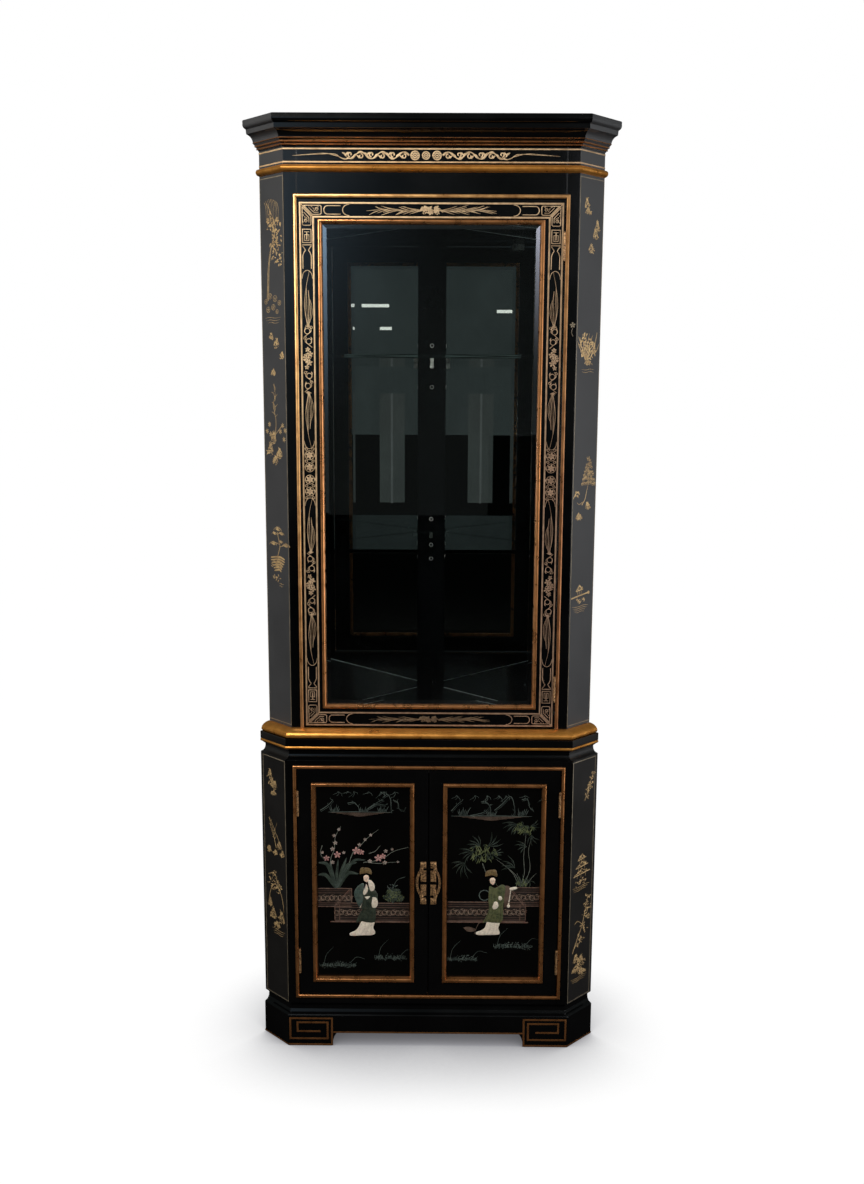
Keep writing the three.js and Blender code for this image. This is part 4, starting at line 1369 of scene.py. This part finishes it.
def balustrade(scene, left, right, top, bottom, brace):
    """A carved stone rail between two levels; brace is where its slanting end piece stands."""
    rail, carving = scene.layer("rail"), scene.layer("carving")
    depth = top - bottom
    for share, width in ((1, 2.4), (0.88, 0.8), (0.76, 1.3), (0.2, 1.1), (0.1, 0.7), (0, 2.6)):
        level = bottom + depth * share
        rail.line([(left, level), (right, level)], width)
    # Painted shade: a dark sheet behind the rails.
    scene.layer("rail_shade").fill([(left, bottom), (right, bottom), (right, top), (left, top)])
    count = max(3, int(abs(right - left) / 9))
    for i in range(count):
        x = left + (right - left) * (i + 0.5) / count
        middle = bottom + depth * 0.47
        turn = 1 if i % 2 else -1
        carving.curl((x, middle), depth * 0.17, 90 * turn, 400 * turn, 0.95)
        carving.blossom((x + 4.5, middle + 3.2 * turn), depth * 0.1, 5, 0.9)
        carving.curve([(x - 5, middle - 5 * turn), (x, middle - 3 * turn), (x + 5, middle + 5 * turn)], 0.8)
        carving.dab((x - 2, middle + 5 * turn), 5, 30 * turn, 1.3)
    if brace:
        low, high = brace
        rail.line([(low, bottom + 2), (high, top - 2)], 3.0)
        rail.line([(low + 4, bottom + 2), (high + 4, top - 2)], 1.2)


def calm_face(scene, at, turn):
    """A plain oval face with lowered eyes; turn is 1 or -1 for the way its nose points."""
    jaw = [(3.6, -6.2), (5.6, -1), (5.2, 5)]
    other = [(-across, up) for across, up in reversed(jaw)]
    scene.shape("flesh", around(at, [(0, -8.6), *jaw, (0, 7.6), *other]))
    ink = scene.layer("ink")
    for side in (-1, 1):
        ink.curve(around(at, ((side * 3.6, 1.7), (side * 2.2, 2.4), (side * 1.1, 1.8))), 0.42)
        ink.curve(around(at, ((side * 3.2, -0.1), (side * 2.2, -0.45), (side * 1.2, -0.1))), 0.5)
    ink.curve(around(at, ((0.1, 0.6), (turn * 0.8, -2.4), (0, -2.9))), 0.34)
    scene.layer("lips").curve(around(at, ((-1.3, -4.9), (0, -5.3), (1.3, -4.9))), swell(0.8, 0.4))


def left_scene():
    scene = Scene(40)
    tufts = ((-60, 18), (2, 14), (42, 16))
    boughs = (
        ((-91, 5), (-74, 17), (-64, 28)),
        ((-33, 21), (-19, 23), (-10, 12), (-8, 2)),
        ((6, 6), (21, 17), (37, 27), (44, 29)),
        ((12, 10), (29, 19), (48, 17)),
        ((43, 35), (52, 41), (58, 31), (60, 2)),
        ((64, 29), (74, 23), (76, 10), (89, 5)),
    )
    far_shore(scene, 374, -74, 62, tufts, boughs)
    grasses(scene, -93, -18, 26)
    grasses(scene, 26, 92, 44)
    balustrade(scene, -99, -26, 202, 161, (-62, -30))
    balustrade(scene, -62, 99, 169, 128, None)
    rail = scene.layer("rail")
    rail.line([(-26, 203), (-26, 168)], 2.6)
    for x in (-62, -52):
        rail.line([(x, 166), (x, 130)], 2.2)
    rail.line([(-72, 126), (99, 126)], 3.2)
    leaves = scene.layer("leaf")
    root = (-58, 203)
    for tip, bow, width in (
        ((-97, 261), (-76, 254), 8.5),
        ((-97, 233), (-80, 232), 8.5),
        ((-72, 262), (-66, 236), 6.5),
        ((-54, 268), (-57, 238), 6.5),
        ((-36, 272), (-47, 240), 8.5),
        ((-14, 262), (-36, 252), 8.5),
        ((-10, 236), (-34, 236), 8.5),
        ((4, 268), (-24, 262), 6.5),
    ):
        start = (root[0] + (tip[0] - root[0]) * 0.1, root[1])
        leaves.line(smooth([start, bow, tip], 8), swell(width, 0.16))
        for share in (-0.24, 0, 0.24):
            aside = width * share
            stripe = [(root[0] + aside, root[1]), (bow[0] + aside, bow[1] + aside), tip]
            scene.layer("mist_vein").curve(stripe, 0.55)
    routes = (
        [(-66, 236), (-70, 268), (-62, 292), (-60, 318), (-48, 343)],
        [(-30, 262), (-22, 284), (-6, 300), (10, 318), (32, 336)],
        [(0, 262), (26, 266), (46, 274), (66, 288), (97, 297)],
        [(10, 262), (34, 260), (52, 262), (78, 264)],
        [(-88, 300), (-92, 282), (-84, 268)],
        [(12, 282), (26, 288), (36, 300)],
    )
    scene.curves("branch", tail(1.7, 0.35), routes)
    pink = [(-56, 279, 7.5), (-79, 271, 6.5), (-15, 288, 8.5), (-4, 285, 6), (32, 272, 8), (42, 276, 6.5)]
    pale = [(-66, 292, 5), (-60, 306, 4.6), (-62, 322, 4), (-52, 336, 3.6), (-66, 262, 4.4)]
    pale += [(-88, 284, 3.6), (-8, 302, 4), (4, 314, 3.6), (16, 324, 3.4), (14, 265, 4.6)]
    pale += [(48, 288, 4.2), (46, 262, 4.6), (62, 292, 3), (74, 264, 2.6), (-42, 284, 3.6)]
    for layer, flowers in (("pink", pink), ("pale", pale)):
        for x, z, radius in flowers:
            scene.layer(layer).blossom((x, z), radius)
    for layer, count in (("leaf", 130), ("mist", 60), ("leaf_light", 46)):
        scene.layer(layer).cloud((64, 182), (22, 10), count, 5.0)
        scene.layer(layer).cloud((64, 194), (15, 9), count // 2, 5.0)
    scene.layer("mist").cloud((60, 208), (12, 5), 12, 4.5)
    scene.layer("mist").curve([(64, 204), (72, 222), (90, 230)], 1.0)
    calm_face(scene, (6, 226), 1)
    scene.shape("cape", [(1, 214), (-12, 208), (-20, 194), (-17, 176), (-8, 162), (2, 184)])
    robe = [(3, 204), (14, 208), (27, 196), (31, 184), (27, 162), (25, 128)]
    hem = [(8, 125), (-6, 128), (-16, 124), (-12, 138), (-4, 158), (-1, 184)]
    scene.shape("robe", robe + hem)
    for outline in (
        [(9, 221), (17, 221), (24, 210), (23, 200), (16, 197), (12, 206)],
        [(6, 214), (2, 204), (-1, 194), (2, 188), (9, 196), (10, 206)],
        [(19, 183), (28, 182), (31, 170), (27, 160), (19, 160), (17, 171)],
        [(2, 184), (14, 186), (12, 181), (6, 178)],
    ):
        scene.shape("ivory", outline)
    scene.layer("ivory").curve([(3, 184), (-2, 172), (-8, 158)], tail(3.6, 0.4))
    skirt = [(-5, 127), (22, 127), (21, 112), (25, 103), (20, 96)]
    train = [(0, 95), (-27, 94), (-30, 100), (-18, 106), (-10, 116)]
    scene.shape("skirt", skirt + train)
    scene.folds("fold", 0.7, 124, (2, 110), 98, ((4, -6), (12, 4), (18, 14)))
    scene.folds("robe_fold", 0.9, 186, (2, 160), 130, ((4, -8), (10, 2), (17, 12), (22, 20)))
    return scene


def right_scene():
    scene = Scene(60)
    tufts = ((-66, 23), (-6, 15), (60, 22))
    boughs = (
        ((-29, 33), (-18, 32), (-10, 23), (-8, 2)),
        ((-52, 2), (-22, 10), (-10, 23)),
        ((0, 14), (17, 29), (35, 45), (43, 14), (39, 2)),
        ((58, 39), (70, 39), (74, 23), (83, 14)),
        ((-92, 12), (-80, 26), (-70, 34)),
    )
    far_shore(scene, 367, -92, 80, tufts, boughs)
    grasses(scene, -98, -32, 42)
    grasses(scene, 4, 84, 72)
    balustrade(scene, 24, 99, 207, 165, (66, 34))
    balustrade(scene, -99, 70, 173, 130, None)
    rail = scene.layer("rail")
    for x in (58, 70):
        rail.line([(x, 170), (x, 132)], 2.2)
    rail.line([(-99, 127), (76, 127)], 3.2)
    routes = (
        [(58, 210), (66, 240), (64, 280), (68, 326), (66, 345)],
        [(64, 210), (78, 250), (74, 290), (80, 320)],
        [(56, 210), (50, 232), (30, 252), (4, 272)],
        [(54, 212), (44, 236), (34, 246)],
        [(70, 212), (84, 232), (92, 240)],
        [(60, 212), (56, 226), (50, 240)],
        [(-24, 262), (-18, 244), (-14, 236)],
    )
    scene.curves("branch", tail(1.5, 0.4), routes)
    dark, light = scene.layer("leaf"), scene.layer("leaf_light")
    for centre, angles, length in (
        ((-30, 300), (100, 125, 150, 172, 195), 32),
        ((-12, 302), (78, 52, 30, 8), 30),
        ((-44, 286), (165, 188, 212, 236), 34),
        ((-4, 288), (20, 0, -18, -40), 28),
        ((-62, 262), (180, 205, 232, 256, 282, 306), 32),
        ((46, 252), (150, 172, 190, 120), 30),
        ((80, 326), (-30, -58, -85, -112), 26),
        ((70, 300), (200, 228, 150, 172), 24),
        ((50, 350), (176, 196, 216, 240), 32),
        ((78, 348), (-12, -38, 14, 40), 22),
        ((60, 214), (110, 84, 60, 132, 40), 24),
    ):
        for degrees in angles:
            dark.dab(centre, length * dark.chance.uniform(0.75, 1.1), degrees, 1.7, -0.12)
            scene.layer("mist_vein").dab(centre, length * 0.7, degrees, 0.5, -0.12)
    chance = light.chance
    for x, z, spread, count in ((-24, 288, (28, 18), 96), (62, 344, (20, 13), 60), (64, 222, (16, 9), 22)):
        for _ in range(count):
            angle = chance.uniform(0, 2 * math.pi)
            away = math.sqrt(chance.random())
            place = (x + spread[0] * away * math.cos(angle), z + spread[1] * away * math.sin(angle))
            target = dark if chance.random() < 0.4 else light
            target.dab(place, chance.uniform(6, 13), chance.uniform(-150, -30), 1.9)
    scene.layer("fan").ring((-19, 189), 11.5, 2.0)
    calm_face(scene, (-2, 222), -1)
    scene.shape("sleeve", [(20, 208), (32, 211), (36, 204), (34, 182), (30, 166), (24, 170), (22, 190)])
    robe = [(-9, 209), (4, 206), (18, 214), (26, 208), (24, 186), (22, 166), (20, 130)]
    hem = [(2, 126), (-12, 128), (-22, 126), (-16, 138), (-9, 158), (-11, 184)]
    scene.shape("robe_olive", robe + hem)
    scene.shape("ivory", [(34, 206), (48, 209), (51, 205), (40, 201), (35, 202)])
    scene.layer("ivory").curve([(37, 204), (35, 186), (33, 168)], 4.2)
    scene.layer("ivory").disc((33, 165), 3.6)
    scene.shape("ivory", [(11, 188), (17, 188), (20, 182), (15, 178), (10, 182)])
    scene.shape("ivory", [(2, 175), (9, 175), (12, 167), (8, 159), (0, 158), (-2, 166)])
    skirt = [(-13, 129), (14, 130), (12, 114), (15, 104), (11, 99)]
    train = [(-10, 98), (-33, 98), (-36, 104), (-24, 109), (-15, 118)]
    scene.shape("skirt", skirt + train)
    scene.folds("fold", 0.7, 127, (2, 113), 101, ((-4, -12), (4, -2), (10, 7)))
    scene.folds("robe_fold", 0.9, 196, (1, 166), 131, ((-4, -16), (3, -6), (12, 6), (18, 15)))
    scene.layer("robe_fold").curve([(2, 222), (12, 206), (26, 196)], 0.9)
    scene.layer("bark").curve([(-24, 134), (-34, 118), (-40, 100)], tail(2.0, 0.4))
    scene.shape("bark", [(-64, 114), (-50, 116), (-36, 110), (-46, 105), (-58, 107)])
    return scene


def hair(scene, crown, bun):
    """Dressed hair with a coil at the crown; bun is how far the coil sits to one side."""
    x, z = crown
    width, height = 25, 19
    outline = ((-0.5, -0.3), (-0.42, 0.3), (0, 0.5), (0.42, 0.3), (0.5, -0.3), (0, -0.1))
    scene.shape("hair", [(x + width * across, z + height * up) for across, up in outline])
    scene.layer("hair").disc((x + bun, z + height * 0.22), height * 0.32)
    comb = scene.layer("robe_fold")
    for shift in (-0.28, 0, 0.28):
        foot, head = (width * shift, -height * 0.2), (width * shift * 0.8, height * 0.36)
        comb.curve(around(crown, (foot, head)), 0.5)


def inlay_panels():
    """Lays both pictures, each measured from the foot of its panel's middle line."""
    pictures = (left_scene, (5, 241)), (right_scene, (-5, 238))
    for (hand, name), (draw, crown) in zip(SIDES, pictures):
        low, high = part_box(f"{name}_panel_bead")
        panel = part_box(f"{name}_door_panel")[0].y
        origin = ((low.x + high.x) / 2, panel, low.z + PANEL_MOULDING * MM)
        scene = draw()
        hair(scene, crown, 6 * hand)
        for layer, motif in scene.layers.items():
            material, height, relief = INLAY[layer]
            inlay = Paint(origin, (1, 0, 0), (0, -1, 0), height, relief)
            inlay.lay(motif)
            inlay.finish(f"{name}_panel_{layer}", material, f"{name}_door", "inlay_panel")


# ---- Studio ----
def add_lamp(name, place, target, size, energy, colour):
    data = bpy.data.lights.new(name, "AREA")
    data.shape = "RECTANGLE"
    data.size, data.size_y = size
    data.energy = energy
    data.color = colour
    light = bpy.data.objects.new(name, data)
    light.location = place
    light.rotation_euler = (Vector(target) - Vector(place)).to_track_quat("-Z", "Y").to_euler()
    bpy.context.scene.collection.objects.link(light)


def staged_plane(name, corners, material):
    mesh = bpy.data.meshes.new(name)
    mesh.from_pydata(corners, [], [(0, 1, 2, 3)])
    mesh.materials.append(material)
    plane = bpy.data.objects.new(name, mesh)
    bpy.context.scene.collection.objects.link(plane)
    return plane


def make_floor():
    """White to the camera, with a soft contact shadow painted into its glow by ambient occlusion; dark to
    reflections, as a deep studio is.
    """
    pale = Finish("pale_floor", Roughness=0.9, Specular_IOR_Level=0.0, Base_Color=(0.022, 0.021, 0.02, 1))
    open_sky = pale.node("AmbientOcclusion", "AO", {"Distance": 0.3}, samples=24)
    # Painted shadow: the glow dims where ambient occlusion finds the cabinet close by.
    tone = pale.ramp(open_sky, (0.0, (0.07, 0.07, 0.075)), (0.45, (0.27, 0.27, 0.29)), (0.95, (1, 1, 1)))
    seen = pale.node("LightPath", "Is Camera Ray", {})
    pale.drive("Emission Color", tone)
    pale.drive("Emission Strength", seen)
    reach = 40
    corners = [(-reach, -reach, 0), (reach, -reach, 0), (reach, reach, 0), (-reach, reach, 0)]
    staged_plane("floor", corners, pale.material)


ROOM = (0.046, 0.054, 0.052, 1)  # what the gloss sees where no card stands


def make_world():
    """The tone of the room to reflections, and white to the camera."""
    world = bpy.data.worlds.new("studio")
    bpy.context.scene.world = world
    world.use_nodes = True
    tree = world.node_tree
    mix = tree.nodes.new("ShaderNodeMixRGB")
    mix.inputs["Color1"].default_value = ROOM
    mix.inputs["Color2"].default_value = (1, 1, 1, 1)
    path = tree.nodes.new("ShaderNodeLightPath")
    tree.links.new(path.outputs["Is Camera Ray"], mix.inputs["Fac"])
    tree.links.new(mix.outputs["Color"], tree.nodes["Background"].inputs["Color"])


def reflection_card(name, centre, size, colour, mirrored=False, soft=False):
    """A glowing card behind the camera, seen only by reflected rays. A soft one fades out at its edges.

    A mirrored card shows only to rays that have crossed the door glass both ways, to a mirror and back.
    Any other card shows only to rays that have not.
    """
    glow = Finish(name, Base_Color=(0, 0, 0, 1), Specular_IOR_Level=0.0, Emission_Strength=1.0)
    glow.shader.inputs["Emission Color"].default_value = (*colour, 1)
    x, y, z = centre
    half, rise = size[0] / 2, size[1] / 2
    if soft:
        inputs = {"Scale": (1 / half, 0, 1 / rise), "Location": (-x / half, 0, -z / rise)}
        spread = glow.node("Mapping", "Vector", {"Vector": glow.place, **inputs})
        away = glow.node("VectorMath", "Value", {0: spread}, operation="LENGTH")
        fade = glow.node("Math", "Value", {0: glow.fit(away, 1, 0, 0, 1), 1: 3}, operation="POWER")
        glow.drive("Emission Color", glow.mix(fade, ROOM, (*colour, 1)))
    passed = glow.node("LightPath", "Transmission Depth", {})
    side = "GREATER_THAN" if mirrored else "LESS_THAN"
    glow.drive("Alpha", glow.node("Math", "Value", {0: passed, 1: 3.5}, operation=side))
    left, right, low, high = x - half, x + half, z - rise, z + rise
    corners = [(left, y, low), (left, y, high), (right, y, high), (right, y, low)]
    card = staged_plane(name, corners, glow.material)
    card.visible_camera = False
    card.visible_shadow = False
    card.visible_diffuse = False


def make_lights():
    add_lamp("key", (-1.5, -2.3, 2.9), (0, 0, 1.0), (0.9, 0.9), 78, (1, 0.96, 0.9))
    add_lamp("fill", (2.3, -2.2, 0.9), (0, 0, 0.5), (0.8, 0.8), 16, (1, 0.93, 0.86))
    add_lamp("left_softbox", (-2.6, -1.2, 1.5), (0, 0, 1.4), (1.0, 2.2), 12, (0.95, 0.97, 1))
    add_lamp("right_softbox", (2.6, -1.2, 1.5), (0, 0, 1.4), (1.0, 2.2), 42, (0.95, 0.97, 1))
    reflection_card("window", (-1.1, -3.3, 2.25), (2.7, 2.8), (0.95, 1.35, 1.75), soft=True)
    reflection_card("tall_window", (1.05, -3.3, 2.5), (0.62, 2.3), (5.5, 5.5, 6.2), soft=True)
    for x, z, width in ((0.36, 1.93, 0.16), (-0.42, 1.9, 0.14), (0.3, 1.8, 0.07)):
        name = f"ceiling_lamp_{round(100 * z)}"
        reflection_card(name, (x, -4, z), (width, 0.018), (1.6, 1.5, 1.35), True)
    for side in (-1, 1):
        middle = 0.265 * side
        reflection_card(f"far_door_{side}", (middle, -4.05, 1.1), (0.15, 0.65), (0.064, 0.069, 0.064), True)
        reflection_card(f"far_edge_{side}", (middle, -4, 1.1), (0.012, 0.65), (0.12, 0.12, 0.115), True)


def make_studio():
    make_floor()
    make_world()
    make_lights()
    bpy.context.scene.view_settings.view_transform = "Standard"


LENS = 35.21
EYE = (0.01822, FRONT - 2.37072, 1.41129)
TURNED, LOOKING_DOWN, ROLLED = 0.00573, 0.16772, 0.00479


def make_camera():
    """The camera fitted to the photograph; its angles are in radians."""
    data = bpy.data.cameras.new("camera")
    data.lens = LENS
    data.clip_start, data.clip_end = 0.1, 100
    camera = bpy.data.objects.new("camera", data)
    turn = Matrix.Rotation(TURNED, 4, "Z")
    tilt = Matrix.Rotation(math.pi / 2 - LOOKING_DOWN, 4, "X")
    roll = Matrix.Rotation(ROLLED, 4, "Z")
    camera.matrix_world = Matrix.Translation(EYE) @ turn @ tilt @ roll
    bpy.context.scene.collection.objects.link(camera)
    bpy.context.scene.camera = camera


make_camera()
make_studio()
dress_cad()
make_cornice()
make_frieze_bead()
make_waist()
make_cock_beads()
make_glass_moulding()
make_panel_beads()
make_door_glass()
paint_door()
paint_frieze()
paint_returns()
paint_plinth()
make_pulls()
inlay_panels()
make_mirrors()
make_ferrules()
